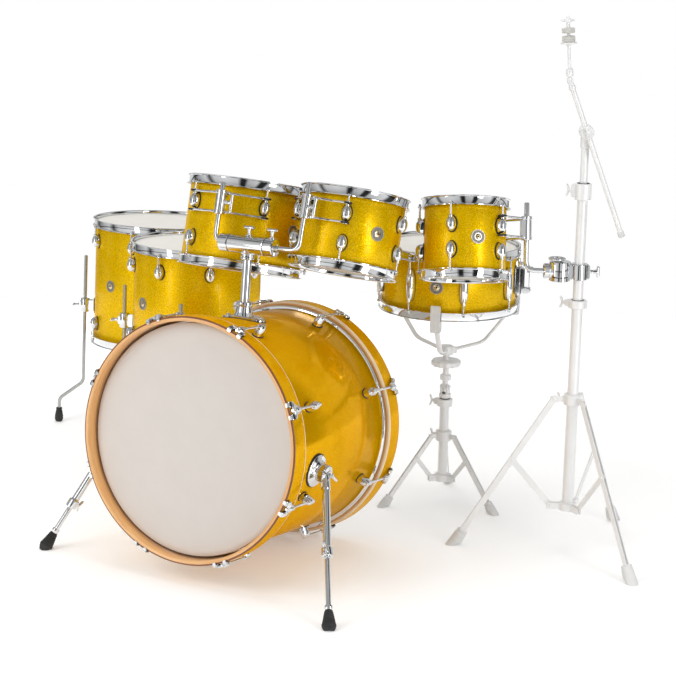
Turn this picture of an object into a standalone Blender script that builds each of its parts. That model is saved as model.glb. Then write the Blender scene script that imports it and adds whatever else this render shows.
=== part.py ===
"""Drum kit: bass drum with two rack toms on a holder, a third rack tom on a boom stand,
two floor toms on legs, and a snare drum in its stand.

Metres, +Z up. The bass drum's axis runs front to back along Y, with its front head
towards -Y, and +X is to the right of someone who faces the front head.
The origin ends up on the floor, under the middle of the kit's bounding box.
"""

import math

import bmesh
import bpy
from mathutils import Matrix, Vector

INCH = 0.0254

# Fits
SEAT = 0.0003  # gap between two pieces that touch
BORE_PLAY = 0.0006  # radial play of a round piece in its bore, corner to corner
JOINT_PLAY = 0.0007  # side play of a flat piece between two cheeks

# Bass drum
BASS_DIAMETER = 22 * INCH
BASS_DEPTH = 18 * INCH
BASS_SIDES = 36
BASS_WALL = 0.008
BASS_PITCH = math.radians(5.5)  # the spurs lift the front
BASS_HOOP_WIDTH = 0.052
BASS_HOOP_THICKNESS = 0.0125
BASS_HOOP_OVERHANG = 0.030  # how far a hoop stands out past the shell's end
BASS_FLESH_RING_HEIGHT = 0.0115
BASS_FLESH_RING_THICKNESS = 0.0092
BASS_FILM = 0.0012
BASS_COLLAR = 0.0012
BASS_LUG_ROW = 0.1415  # from the middle of the shell to each row of lugs
BASS_LUG_HEIGHT = 0.031
BASS_LUG_LENGTH = 0.034
BASS_LUG_WIDTH = 0.023
BASS_LUG_TAPER = 0.72
BASS_LUGS = 8
BASS_ROD_RADIUS = 0.0035
BASS_ROD_STANDOFF = 0.0055  # from the hoop's outer face to the rod's axis
CLAW_WIDTH = 0.042
CLAW_PRONG_WIDTH = 0.012
CLAW_BACK_WIDTH = 0.020
CLAW_LENGTH = 0.034
CLAW_THICKNESS = 0.011
CLAW_HOOK = 0.006  # how far the hook reaches down over the hoop's edge
CLAW_HOOK_LENGTH = 0.016
CLAW_LIP = 0.0035

# Tom holder on the bass drum
PLATE_LENGTH = 0.122
PLATE_WIDTH = 0.068
PLATE_THICKNESS = 0.006
PLATE_FORWARD = 0.036  # in front of the middle of the shell
HOLDER_COLLAR_RADIUS = 0.020
HOLDER_COLLAR_HEIGHT = 0.040
POST_RADIUS = 0.011
POST_INSIDE = 0.100  # how deep the post reaches into the bass drum
HEAD_HEIGHT = 0.458  # the arms' axis over the bass drum's axis
HEAD_COLLAR_RADIUS = 0.0175
HEAD_COLLAR_DROP = 0.036  # from the arms' axis down to the collar's end on the post
HEAD_BARREL_RADIUS = 0.021
HEAD_REACH = 0.078  # half of the clamp's length along the arms
HEAD_KNOBS = (0.0, 0.066)  # where the clamp's two screws stand along its barrel
ARM_RADIUS = 0.00635
ARM_IN_CLAMP = 0.056  # length of each arm inside the clamp
ARM_BEND = 0.013

# Spurs
SPUR_AZIMUTH = math.radians(-9.4)
SPUR_FORWARD = 0.116
SPUR_DISC_RADIUS = 0.030
SPUR_DISC_HEIGHT = 0.014
SPUR_HUB_RADIUS = 0.023
SPUR_HUB_HEIGHT = 0.024
SPUR_SPLAY = math.radians(60)  # between the leg and the hub's axis
SPUR_SWING_RIGHT = math.radians(36.6)
SPUR_SWING_LEFT = math.radians(22.3)
SPUR_TUBE_RADIUS = 0.0095
SPUR_TUBE_LENGTH = 0.215
SPUR_COLLAR_RADIUS = 0.014
SPUR_COLLAR_LENGTH = 0.022
SPUR_ROD_RADIUS = 0.0065
SPUR_ROD_OVERLAP = 0.110
SPUR_BORE_DEPTH = 0.165
SPUR_FOOT_RADIUS = 0.018
SPUR_FOOT_LENGTH = 0.048

# Thumb screws
WING_ROOT = 0.009
WING_SPAN = 0.030
WING_THICKNESS = 0.006
KNOB_STEM_RADIUS = 0.0048
KNOB_BAR = (0.0075, 0.0085)  # across the bar, and along the stem

# Small drums, shared sizes
SHELL_WALL = 0.0065
FILM = 0.0011
HOOP_ABOVE = 0.012  # the hoop over the shell's edge
HOOP_BELOW = 0.012  # the hoop beside the shell
HOOP_FLANGE = 0.0165  # the lower flange's reach past the shell
HOOP_TOP_REACH = 0.0100
HOOP_WALL_INSIDE = 0.0035
ROD_STANDOFF = 0.0115
ROD_RADIUS = 0.0030
ROD_IN_HOOP = 0.008  # how far a rod reaches up into its hoop
LUG_HEIGHT = 0.021
LUG_LENGTH = 0.039
LUG_WIDTH = 0.025
LUG_TAPER = 0.68
BADGE_RADIUS = 0.0165
BADGE_THICKNESS = 0.0015

# Rack toms, each with the azimuth of its mount, and how far from the shell its rod stands
TOM12 = dict(diameter=12 * INCH, depth=8 * INCH, lug_row=0.046, mount=-79.5, standoff=0.042, sides=24)
TOM10 = dict(diameter=10 * INCH, depth=7 * INCH, lug_row=0.036, mount=-103.5, standoff=0.042, sides=24)
TOM8 = dict(diameter=8 * INCH, depth=7 * INCH, lug_row=0.031, mount=25.5, standoff=0.050, sides=24)
TOM_LUGS = 5
BADGE10_AZIMUTH = math.radians(-29.4)
BADGE8_AZIMUTH = math.radians(-46)
BADGE12_AZIMUTH = math.radians(-8)
MOUNT_BLOCK = (0.027, 0.016, 0.052)
MOUNT_BARREL_RADIUS = 0.0135
MOUNT_WIRE_RADIUS = 0.0032
MOUNT_WIRE_GAP = 0.047  # between the two wires
MOUNT_WIRE_LIFT = 0.0145  # the wires' height over the shell, beside the lugs
MOUNT_WIRE_FROM_LUG = 0.0085  # from a lug's middle to the wire beside it

# How the rack toms hang on their arms
TOM12_REACH = 0.0966
TOM12_TILT = math.radians(13.9)
TOM12_RISE = 0.050
TOM10_REACH = 0.1416
TOM10_TILT = math.radians(16.8)
TOM10_RISE = 0.073
TOM8_REACH = 0.132
TOM8_ARM_AZIMUTH = math.radians(209.8)
TOM8_LEAN = math.radians(15.4)  # its arm is turned in the clamp, so that its top leans back
TOM8_RISE = 0.073
ROD_OVER_TOM = 0.095  # the arm's top over the middle of its tom

# Floor toms
FLOOR16 = dict(diameter=16 * INCH, depth=14 * INCH, lug_row=0.125, first_lug=-127.0, sides=28)
FLOOR14 = dict(diameter=14 * INCH, depth=12 * INCH, lug_row=0.098, first_lug=-91.0, sides=28)
FLOOR_LUGS = 8
FLOOR16_PLACE = (-0.862, 0.904)
FLOOR16_TOP = 0.633
FLOOR16_TILT = math.radians(2.8)
FLOOR16_LEGS = (-149.5, 75.5, -14.5)
FLOOR16_BRACKET = 0.095  # over the shell's lower edge
FLOOR16_BADGE = math.radians(-104.5)
FLOOR14_PLACE = (-0.511, 0.560)
FLOOR14_TOP = 0.655
FLOOR14_TILT = math.radians(1.6)
FLOOR14_LEGS = (-158.5, -68.5, 66.5)
FLOOR14_BRACKET = 0.078
FLOOR14_BADGE = math.radians(-113.5)
LEG_RADIUS = 0.005
LEG_STANDOFF = 0.030
LEG_KICK = 0.072
LEG_LENGTH = 0.520
LEG_BEND_TOP = 0.128
LEG_BEND_BOTTOM = 0.072
LEG_FOOT_RADIUS = 0.013
LEG_FOOT_HEIGHT = 0.044
BRACKET_BLOCK = (0.030, 0.040)  # along the shell's edge, and up

# Snare drum
SNARE = dict(diameter=14 * INCH, depth=6 * INCH, first_lug=-96.5, sides=28)
SNARE_LUGS = 8
SNARE_LUG_LENGTH = 0.087
SNARE_LUG_WIDTH = 0.019
SNARE_LUG_HEIGHT = 0.017
SNARE_LUG_TAPER = 0.86
SNARE_BADGE = math.radians(-74)
SNARE_STRAINER = math.radians(16)
STRAINER_BLOCK = (0.034, 0.024, 0.074)
LEVER_LENGTH = 0.066
LEVER_WIDTH = 0.017
LEVER_THICKNESS = 0.006
LEVER_PIN_RADIUS = 0.003
WIRE_BAND = (0.250, 0.046, 0.0022)

# Snare stand
SNARE_PLACE = (0.230, 0.650)
SNARE_RIM_BOTTOM = 0.542
BASKET_ARMS = (-73.0, 47.0, 167.0)
BASKET_HUB_HEIGHT = 0.424
BASKET_HUB_RADIUS = 0.019
BASKET_STEM_RADIUS = 0.0085
BASKET_KNOB_HEIGHT = 0.390
BASKET_KNOB_RADIUS = 0.039
BASKET_TILT_HEIGHT = 0.323
BASKET_ARM_WIDTH = 0.018
BASKET_ARM_FLAT = 0.62  # an arm's thickness over its width
GRIP_WIDTH = 0.026
GRIP_RISE = 0.044  # the grip's top over its seat
SNARE_TUBE_TOP = 0.290

SNARE_TRIPOD = dict(
    turn=230.6,
    foot_radius=0.173,
    upper=(0.035, 0.187),
    lower=(0.032, 0.069),
    knee=0.072,
    tube_radius=0.0125,
    inner_radius=0.0100,
    strip_width=0.012,
    foot_length=0.036,
    foot=0.0135,
    open_end=0.007,
)

# Boom stand
BOOM_PLACE = (0.675, 0.472)
BOOM_TRIPOD = dict(
    turn=207.0,
    foot_radius=0.287,
    upper=(0.046, 0.393),
    lower=(0.044, 0.113),
    knee=0.191,
    tube_radius=0.0143,
    inner_radius=0.0127,
    strip_width=0.015,
    foot_length=0.046,
    foot=0.016,
    open_end=0.010,
)
TOM8_ARM_HEIGHT = 0.720
MULTI_CLAMP_RISE = 0.072  # the small tom's arm over the lower tube's top
BOOM_TUBE_TOP = TOM8_ARM_HEIGHT - MULTI_CLAMP_RISE
MIDDLE_TUBE_TOP = 0.940
MIDDLE_TUBE_OVERLAP = 0.160  # how far the middle tube reaches down into the lower one
UPPER_TUBE_TOP = 1.045
UPPER_TUBE_OVERLAP = 0.170
BOOM_HEIGHT = 1.068
STRIP_THICKNESS = 0.0025
BRACE_THICKNESS = 0.0035
PIN_RADIUS = 0.0025
COLLAR_WALL = 0.009
COLLAR_HEIGHT = 0.028
CLAMP_HEIGHT = 0.040
TUBE_WALL = 0.0013
TUBE_SIDES = 12
UPPER_TUBE_RADIUS = 0.0095
MULTI_CLAMP_LENGTH = 0.088
MULTI_CUP_OUT = 0.048  # from the tube's axis to the cup's
MULTI_CUP_RADIUS = 0.0235
MULTI_CUP_HEIGHT = 0.050
MULTI_JAW_RADIUS = 0.019
BOOM_RADIUS = 0.0065
BOOM_LEAN = math.radians(21)
BOOM_AZIMUTH = math.radians(209.4)
BOOM_UP = 0.122
BOOM_DOWN = 0.265
TILTER_HALF = 0.014  # half of the fixed disc's thickness
BOOM_SIDE = 0.026  # the boom runs this far beside the tube's axis
CYMBAL_ROD_RADIUS = 0.004
CYMBAL_ROD_LENGTH = 0.150
CYMBAL_ROD_LEAN = math.radians(4.5)
FELT_RADIUS = 0.020
FELT_STACK = 0.058

Z_AXIS = Vector((0, 0, 1))
X_AXIS = Vector((1, 0, 0))


# Plain shapes: each is (points, faces), and faces are turned outwards later


def turned(profile, sides, middle=(0, 0, 0), axis=Z_AXIS):
    """A profile of (radius, height) turned round an axis. Points on the axis close it."""
    points = []
    rings = []
    for radius, height in profile:
        count = sides if radius > 0 else 1
        rings.append(range(len(points), len(points) + count))
        for i in range(count):
            angle = 2 * math.pi * i / sides - math.pi / 2
            points.append(Vector((radius * math.cos(angle), radius * math.sin(angle), height)))
    pairs = list(zip(rings, rings[1:]))
    if profile[0][0] > 0:
        pairs.append((rings[-1], rings[0]))
    faces = []
    for a, b in pairs:
        for i in range(sides):
            j = (i + 1) % sides
            corners = [a[i % len(a)], a[j % len(a)], b[j % len(b)], b[i % len(b)]]
            faces.append(tuple(dict.fromkeys(corners)))
    return moved((points, faces), facing(Vector(middle), Vector(axis)))


def rod(start, end, radius, sides=8):
    """A round bar between two points."""
    start = Vector(start)
    run = Vector(end) - start
    profile = [(0, 0), (radius, 0), (radius, run.length), (0, run.length)]
    return turned(profile, sides, start, run)


def block(middle, size, turn=Matrix.Identity(3)):
    """A box by its middle and its size, turned by a rotation."""
    half = Vector(size) / 2
    signs = [(x, y, z) for x in (-1, 1) for y in (-1, 1) for z in (-1, 1)]
    points = [Vector(middle) + turn @ Vector((x * half.x, y * half.y, z * half.z)) for x, y, z in signs]
    faces = [(0, 1, 3, 2), (4, 6, 7, 5), (0, 4, 5, 1), (2, 3, 7, 6), (0, 2, 6, 4), (1, 5, 7, 3)]
    return points, faces


def lofted(low, high):
    """A solid between two outlines with as many points each."""
    count = len(low)
    faces = [tuple(range(count)), tuple(range(count, 2 * count))]
    faces += [(i, (i + 1) % count, count + (i + 1) % count, count + i) for i in range(count)]
    return list(low) + list(high), faces


def swept(path, radius, sides=8, flat=1.0):
    """A bar along a path, as wide as twice the radius, and as thick as flat times that."""
    count = len(path)
    runs = [(path[i + 1] - path[i]).normalized() for i in range(count - 1)]
    ways = [runs[0]]
    ways += [(runs[i] + runs[i + 1]).normalized() for i in range(count - 2)]
    ways.append(runs[-1])
    side = runs[0].orthogonal().normalized()
    plane = path_normal(path)
    if plane is not None:
        side = plane
    points = []
    for point, way in zip(path, ways):
        side = (side - way * side.dot(way)).normalized()
        up = way.cross(side)
        for i in range(sides):
            angle = 2 * math.pi * (i + 0.5) / sides
            points.append(point + side * radius * math.cos(angle) + up * radius * flat * math.sin(angle))
    faces = [tuple(range(sides)), tuple(range(len(points) - sides, len(points)))]
    for ring in range(count - 1):
        for i in range(sides):
            a = ring * sides + i
            b = ring * sides + (i + 1) % sides
            faces.append((a, b, b + sides, a + sides))
    return points, faces


def path_normal(path):
    """The normal of the plane that a bent path lies in, or None for a straight one."""
    for i in range(1, len(path) - 1):
        normal = (path[i] - path[i - 1]).cross(path[i + 1] - path[i])
        if normal.length > 1e-9:
            return normal.normalized()
    return None


def rounded(corners, radius, steps=3):
    """A path through corners, with each inner corner made an arc."""
    corners = [Vector(c) for c in corners]
    path = [corners[0]]
    for before, corner, after in zip(corners, corners[1:], corners[2:]):
        back = (before - corner).normalized()
        on = (after - corner).normalized()
        half = back.angle(on) / 2
        start = corner + back * (radius / math.tan(half))
        centre = corner + (back + on).normalized() * (radius / math.sin(half))
        first = start - centre
        last = corner + on * (radius / math.tan(half)) - centre
        for i in range(steps + 1):
            path.append(centre + arc_step(first, last, i / steps))
    path.append(corners[-1])
    return path


def arc_step(first, last, share):
    """A vector part of the way round from one radius to another."""
    angle = first.angle(last)
    normal = first.cross(last)
    return Matrix.Rotation(angle * share, 3, normal) @ first


def facing(origin, axis, towards=None):
    """A placement whose Z runs along an axis, and whose X leans towards a given way."""
    z = axis.normalized()
    if towards is None:
        return Matrix.Translation(origin) @ Z_AXIS.rotation_difference(z).to_matrix().to_4x4()
    x = (towards - z * towards.dot(z)).normalized()
    y = z.cross(x)
    turn = Matrix((x, y, z)).transposed().to_4x4()
    return Matrix.Translation(origin) @ turn


def moved(shape, placement):
    points, faces = shape
    return [placement @ p for p in points], faces


def polar(radius, azimuth, height=0.0):
    return Vector((radius * math.cos(azimuth), radius * math.sin(azimuth), height))


def outward(azimuth, height=0.0, radius=0.0):
    """A placement on a drum: Z points out from its axis, Y runs up along it."""
    z = polar(1, azimuth)
    return facing(polar(radius, azimuth, height), z, Z_AXIS.cross(z))


def oval(width, length, height, count=6):
    """The points of an oval at a height, wide along X and long along Y."""
    points = []
    for i in range(count):
        angle = 2 * math.pi * (i + 0.5) / count
        points.append(Vector((width / 2 * math.cos(angle), length / 2 * math.sin(angle), height)))
    return points


def long_oval(width, length, height):
    """The points of a straight-sided oval at a height, wide along X and long along Y."""
    quarter = [(width / 2, length / 2 - width * 0.45), (width / 4, length / 2)]
    right = [(x, -y) for x, y in reversed(quarter)] + quarter
    outline = right + [(-x, -y) for x, y in right]
    return [Vector((x, y, height)) for x, y in outline]


# Objects


def material(name, colour, roughness, metallic):
    made = bpy.data.materials.new(name)
    made.use_nodes = True
    shader = made.node_tree.nodes["Principled BSDF"]
    shader.inputs["Base Color"].default_value = (*colour, 1)
    shader.inputs["Roughness"].default_value = roughness
    shader.inputs["Metallic"].default_value = metallic
    made.diffuse_color = (*colour, 1)
    return made


def raw_object(name, shapes):
    """One object from shapes, each shape still a body of its own."""
    mesh = bmesh.new()
    for points, faces in shapes:
        corners = [mesh.verts.new(p) for p in points]
        for face in faces:
            mesh.faces.new([corners[i] for i in face])
    bmesh.ops.triangulate(mesh, faces=[f for f in mesh.faces if len(f.verts) > 4])
    bmesh.ops.recalc_face_normals(mesh, faces=mesh.faces)
    data = bpy.data.meshes.new(name)
    mesh.to_mesh(data)
    mesh.free()
    made = bpy.data.objects.new(name, data)
    bpy.context.scene.collection.objects.link(made)
    return made


def solid(name, shapes, cuts=()):
    """One closed body: the first shape joined with the rest, less the cuts."""
    made = raw_object(name, shapes[:1])
    helpers = []
    for label, others, operation in (("Join", shapes[1:], "UNION"), ("Cut", cuts, "DIFFERENCE")):
        if not others:
            continue
        helper = raw_object(label, others)
        helpers.append(helper)
        step = made.modifiers.new(label, "BOOLEAN")
        step.operation = operation
        step.solver = "EXACT"
        step.use_self = True
        step.object = helper
    bpy.context.view_layer.update()
    graph = bpy.context.evaluated_depsgraph_get()
    joined = bpy.data.meshes.new_from_object(made.evaluated_get(graph))
    made.modifiers.clear()
    made.data = joined
    joined.name = name
    for helper in helpers:
        bpy.data.objects.remove(helper)
    joined.shade_smooth()
    joined.set_sharp_from_angle(angle=math.radians(32))
    return made


def empty(name, parent=None, placement=Matrix.Identity(4)):
    made = bpy.data.objects.new(name, None)
    made.empty_display_size = 0.05
    bpy.context.scene.collection.objects.link(made)
    made.parent = parent
    made.matrix_basis = placement
    return made


def node(name, look, parent, shapes, cuts=(), place=Matrix.Identity(4)):
    """A finished sub-part on its parent, modelled round its own origin."""
    made = solid(name, shapes, cuts)
    made.data.materials.clear()
    made.data.materials.append(look)
    made.parent = parent
    made.matrix_basis = place
    return made


def sleeve(radius):
    """The inner radius of a tube that another tube of this radius slides in without turning."""
    return radius + SEAT / math.cos(math.pi / TUBE_SIDES)


def bore(radius, sides):
    """The radius of a bore of so many sides that a round piece of this radius turns in."""
    return (radius + SEAT) / math.cos(math.pi / sides) + BORE_PLAY / 4


# Drum parts


def rectangle(width, depth, height):
    corners = ((-1, -1), (1, -1), (1, 1), (-1, 1))
    return [Vector((x * width / 2, y * depth / 2, height)) for x, y in corners]


def wing_screw(base, way, span, reach=0.020):
    """A thumb screw: a flat shank that widens into its wing. The wing lies along the span."""
    low = rectangle(WING_ROOT, WING_THICKNESS, 0)
    high = rectangle(WING_SPAN, WING_THICKNESS, reach + 0.008)
    place = facing(Vector(base), Vector(way), Vector(span))
    return [moved(lofted(low, high), place)]


def bar_knob(base, way, span, stem, length):
    """A thumb screw whose head is a bar along the span, across the end of a round stem."""
    base = Vector(base)
    way = Vector(way).normalized()
    place = facing(base + way * (stem + KNOB_BAR[1] / 2), way, Vector(span))
    head = moved(block((0, 0, 0), (length, *KNOB_BAR)), place)
    return [rod(base, base + way * (stem + 0.002), KNOB_STEM_RADIUS, 6), head]


def lug(radius, azimuth, row, width, length, height, taper):
    """An oval lug: a tapered boss that stands out from the shell."""
    low = oval(width, length, -0.003)
    high = oval(width * taper, length * taper, height)
    return moved(lofted(low, high), outward(azimuth, row, radius))


def lug_edge(length, height, taper, standoff):
    """Half of a lug's length at a height over the shell."""
    share = (standoff + 0.003) / (height + 0.003)
    return length / 2 * (1 + (taper - 1) * share)


def badge(radius, azimuth, row, sides):
    flat = radius * math.cos(math.pi / sides)
    profile = [(0, -0.003), (BADGE_RADIUS, -0.003), (BADGE_RADIUS, BADGE_THICKNESS), (0, BADGE_THICKNESS)]
    return moved(turned(profile, 10), outward(azimuth, row, flat + 0.0005))


def shell_ring(radius, half, wall, sides):
    inside = radius - wall
    return turned([(inside, -half), (radius, -half), (radius, half), (inside, half)], sides)


def lug_azimuths(count, first):
    return [math.radians(first + 360 / count * i) for i in range(count)]


def rim(drum, side, lugs, rod_end, extra=()):
    """A tensioned hoop with its head and rods, on the top (side 1) or the bottom (side -1)."""
    radius = drum["diameter"] / 2
    edge = drum["depth"] / 2
    inside = radius + SEAT
    profile = [
        (0, edge + SEAT),
        (inside, edge + SEAT),
        (inside, edge - HOOP_BELOW),
        (radius + HOOP_FLANGE, edge - HOOP_BELOW),
        (radius + HOOP_TOP_REACH, edge + HOOP_ABOVE),
        (radius + HOOP_WALL_INSIDE, edge + HOOP_ABOVE),
        (radius + HOOP_WALL_INSIDE, edge + SEAT + FILM),
        (0, edge + SEAT + FILM),
    ]
    profile = [(r, side * z) for r, z in profile]
    rod_top = edge - HOOP_BELOW + ROD_IN_HOOP
    shapes = [turned(profile, drum["sides"])]
    for azimuth in lugs:
        low = polar(radius + ROD_STANDOFF, azimuth, side * rod_end)
        high = polar(radius + ROD_STANDOFF, azimuth, side * rod_top)
        shapes.append(rod(low, high, ROD_RADIUS, 4))
    return shapes + list(extra)


def small_lug(radius, azimuth, row):
    return lug(radius, azimuth, row, LUG_WIDTH, LUG_LENGTH, LUG_HEIGHT, LUG_TAPER)


def rod_end_over_lug(row):
    """Where a rod stops, just clear of its lug."""
    return row + lug_edge(LUG_LENGTH, LUG_HEIGHT, LUG_TAPER, ROD_STANDOFF - ROD_RADIUS) + 2 * SEAT


def rack_tom(name, drum, pivot, badge_azimuth, looks):
    """A rack tom, with its mount clamped on the arm's rod, which is the pivot's Z axis."""
    radius = drum["diameter"] / 2
    half = drum["depth"] / 2
    row = drum["lug_row"]
    mount = math.radians(drum["mount"])
    spacing = 2 * math.pi / TOM_LUGS
    lugs = [mount + spacing * (i - 0.5) for i in range(TOM_LUGS)]
    shapes = [shell_ring(radius, half, SHELL_WALL, drum["sides"])]
    for azimuth in lugs:
        shapes.append(small_lug(radius, azimuth, row))
        shapes.append(small_lug(radius, azimuth, -row))
    shapes.append(badge(radius, badge_azimuth, 0, drum["sides"]))
    rod_out = radius + drum["standoff"]
    rod_at = polar(rod_out, mount)
    for side in (-1, 1):
        shapes.append(mount_wire(radius, rod_out, mount, side, spacing, row))
    block_size = (MOUNT_BLOCK[0], MOUNT_BLOCK[2], MOUNT_BLOCK[1])
    shapes.append(moved(block((0, 0, -MOUNT_BLOCK[1] / 2), block_size), outward(mount, row, rod_out)))
    barrel_low = rod_at + Z_AXIS * (row - MOUNT_BLOCK[2] / 2 - 0.004)
    barrel_high = rod_at + Z_AXIS * (row + MOUNT_BLOCK[2] / 2 + 0.004)
    shapes.append(rod(barrel_low, barrel_high, MOUNT_BARREL_RADIUS, 12))
    beside = polar(1, mount + math.pi / 2)
    screw_at = rod_at + Z_AXIS * row + beside * (MOUNT_BARREL_RADIUS - 0.003)
    shapes += bar_knob(screw_at, beside, Z_AXIS, 0.014, 0.050)
    cut = rod(barrel_low - Z_AXIS * 0.01, barrel_high + Z_AXIS * 0.01, bore(ARM_RADIUS, 12), 12)
    place = Matrix.Translation(-rod_at)
    end = rod_end_over_lug(row)
    node(name + "_shell", looks["shell"], pivot, shapes, [cut], place)
    node(name + "_batter_rim", looks["chrome"], pivot, rim(drum, 1, lugs, end), (), place)
    node(name + "_resonant_rim", looks["chrome"], pivot, rim(drum, -1, lugs, end), (), place)


def mount_wire(radius, rod_out, mount, side, spacing, row):
    """A wire from the clamp along the shell to a lug, down beside the lug, and back."""
    lug_side = spacing / 2 - MOUNT_WIRE_FROM_LUG / radius
    clamp_side = MOUNT_BLOCK[0] / 2 / rod_out * 0.6
    near = radius + MOUNT_WIRE_LIFT
    inside = rod_out - MOUNT_BLOCK[1] * 0.7
    stops = [(inside, clamp_side), (near + 0.003, lug_side * 0.45), (near, lug_side * 0.72), (near, lug_side)]
    up = [polar(out, mount + side * angle, row + MOUNT_WIRE_GAP / 2) for out, angle in stops]
    down = [point - Z_AXIS * MOUNT_WIRE_GAP for point in reversed(up)]
    return swept(up + [(up[-1] + down[0]) / 2] + down, MOUNT_WIRE_RADIUS, 6)


# Bass drum


def bass_hoop_radius():
    return bass_hoop_inside() + BASS_HOOP_THICKNESS


def bass_hoop_inside():
    return BASS_DIAMETER / 2 + 0.0071


def bass_half():
    return BASS_DEPTH / 2


def bass_hoop_front():
    return bass_half() + BASS_HOOP_OVERHANG


def bass_hoop_back():
    return bass_hoop_front() - BASS_HOOP_WIDTH


def bass_frame(kit):
    """The bass drum stands on its batter hoop and its spurs. Its Z is its axis, towards the front."""
    height = bass_hoop_radius() * math.cos(BASS_PITCH) + bass_hoop_front() * math.sin(BASS_PITCH)
    turn = Matrix.Rotation(math.pi / 2 - BASS_PITCH, 4, "X")
    return empty("bass_drum", kit, Matrix.Translation((0, 0, height)) @ turn)


def bass_lug_azimuths():
    return lug_azimuths(BASS_LUGS, 360 / BASS_LUGS / 2)


def post_bottom():
    return BASS_DIAMETER / 2 - POST_INSIDE


def bass_shell(frame, looks):
    radius = BASS_DIAMETER / 2
    shapes = [shell_ring(radius, bass_half(), BASS_WALL, BASS_SIDES)]
    for azimuth in bass_lug_azimuths():
        for row in (-BASS_LUG_ROW, BASS_LUG_ROW):
            shapes.append(
                lug(radius, azimuth, row, BASS_LUG_WIDTH, BASS_LUG_LENGTH, BASS_LUG_HEIGHT, BASS_LUG_TAPER)
            )
    top = math.pi / 2
    for azimuth in (SPUR_AZIMUTH, math.pi - SPUR_AZIMUTH):
        low = polar(radius - 0.004, azimuth, SPUR_FORWARD)
        high = polar(radius + SPUR_DISC_HEIGHT, azimuth, SPUR_FORWARD)
        shapes.append(rod(low, high, SPUR_DISC_RADIUS, 12))
    plate_low = oval(PLATE_LENGTH, PLATE_WIDTH, SEAT - BASS_WALL, 12)
    plate_high = oval(PLATE_LENGTH * 0.9, PLATE_WIDTH * 0.85, PLATE_THICKNESS, 12)
    shapes.append(moved(lofted(plate_low, plate_high), outward(top, PLATE_FORWARD, radius)))
    collar_low = Vector((0, radius, PLATE_FORWARD))
    collar_high = Vector((0, radius + HOLDER_COLLAR_HEIGHT, PLATE_FORWARD))
    shapes.append(rod(collar_low, collar_high, HOLDER_COLLAR_RADIUS, 12))
    screw_at = Vector((HOLDER_COLLAR_RADIUS - 0.003, radius + 0.026, PLATE_FORWARD))
    shapes += wing_screw(screw_at, X_AXIS, (0, 1, 0), 0.018)
    hole_low = Vector((0, radius - 0.03, PLATE_FORWARD))
    hole_high = collar_high + Vector((0, 0.01, 0))
    cut = rod(hole_low, hole_high, bore(POST_RADIUS, 12), 12)
    node("bass_shell", looks["shell"], frame, shapes, [cut])


def bass_head(name, side, frame, look):
    radius = BASS_DIAMETER / 2
    edge = bass_half()
    inside = radius + SEAT
    ring_top = bass_hoop_back() - SEAT
    ring_bottom = ring_top - BASS_FLESH_RING_HEIGHT
    ring_outside = inside + BASS_FLESH_RING_THICKNESS
    profile = [
        (0, edge + SEAT),
        (inside, edge + SEAT),
        (inside, ring_bottom),
        (ring_outside, ring_bottom),
        (ring_outside, ring_top),
        (inside + BASS_COLLAR, ring_top),
        (inside + BASS_COLLAR, edge + SEAT + BASS_FILM),
        (0, edge + SEAT + BASS_FILM),
    ]
    node(name, look, frame, [turned([(r, side * z) for r, z in profile], BASS_SIDES)])


def bass_hoop(name, side, frame, look):
    """A wooden hoop with its claws and key rods, which reach back to the lugs."""
    front = bass_hoop_front()
    inside = bass_hoop_inside()
    outside = bass_hoop_radius()
    back = bass_hoop_back()
    ring = [(inside, back), (outside, back), (outside, front), (inside, front)]
    shapes = [turned([(r, side * z) for r, z in ring], BASS_SIDES)]
    flat = outside * math.cos(math.pi / BASS_SIDES)
    rod_at = outside + BASS_ROD_STANDOFF
    standoff = rod_at - BASS_ROD_RADIUS - BASS_DIAMETER / 2
    lug_half = lug_edge(BASS_LUG_LENGTH, BASS_LUG_HEIGHT, BASS_LUG_TAPER, standoff)
    lug_face = BASS_LUG_ROW + lug_half + 2 * SEAT
    for azimuth in bass_lug_azimuths():
        shapes += [moved(piece, outward(azimuth)) for piece in claw(side, front, flat)]
        start = polar(rod_at, azimuth, side * (front - CLAW_LENGTH + 0.004))
        shapes.append(rod(start, polar(rod_at, azimuth, side * lug_face), BASS_ROD_RADIUS, 6))
    node(name, look, frame, shapes)


def claw(side, front, flat):
    """A claw seen from outside: a narrow back, and a yoke with two prongs over the hoop's edge."""
    hook = front + CLAW_LIP
    step = hook - CLAW_HOOK_LENGTH
    prong_out = (CLAW_WIDTH - CLAW_PRONG_WIDTH) / 2
    middle = flat + (CLAW_THICKNESS - CLAW_HOOK) / 2
    height = CLAW_THICKNESS + CLAW_HOOK
    runs = [
        (0, CLAW_BACK_WIDTH, front - CLAW_LENGTH, step + 0.002, height - 0.0012),
        (0, CLAW_WIDTH - 0.001, step - 0.003, step + 0.004, height - 0.0006),
        (-prong_out, CLAW_PRONG_WIDTH, step, hook, height),
        (prong_out, CLAW_PRONG_WIDTH, step, hook, height),
    ]
    return [
        block((x, side * (start + end) / 2, middle), (width, end - start, tall))
        for x, width, start, end, tall in runs
    ]


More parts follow.
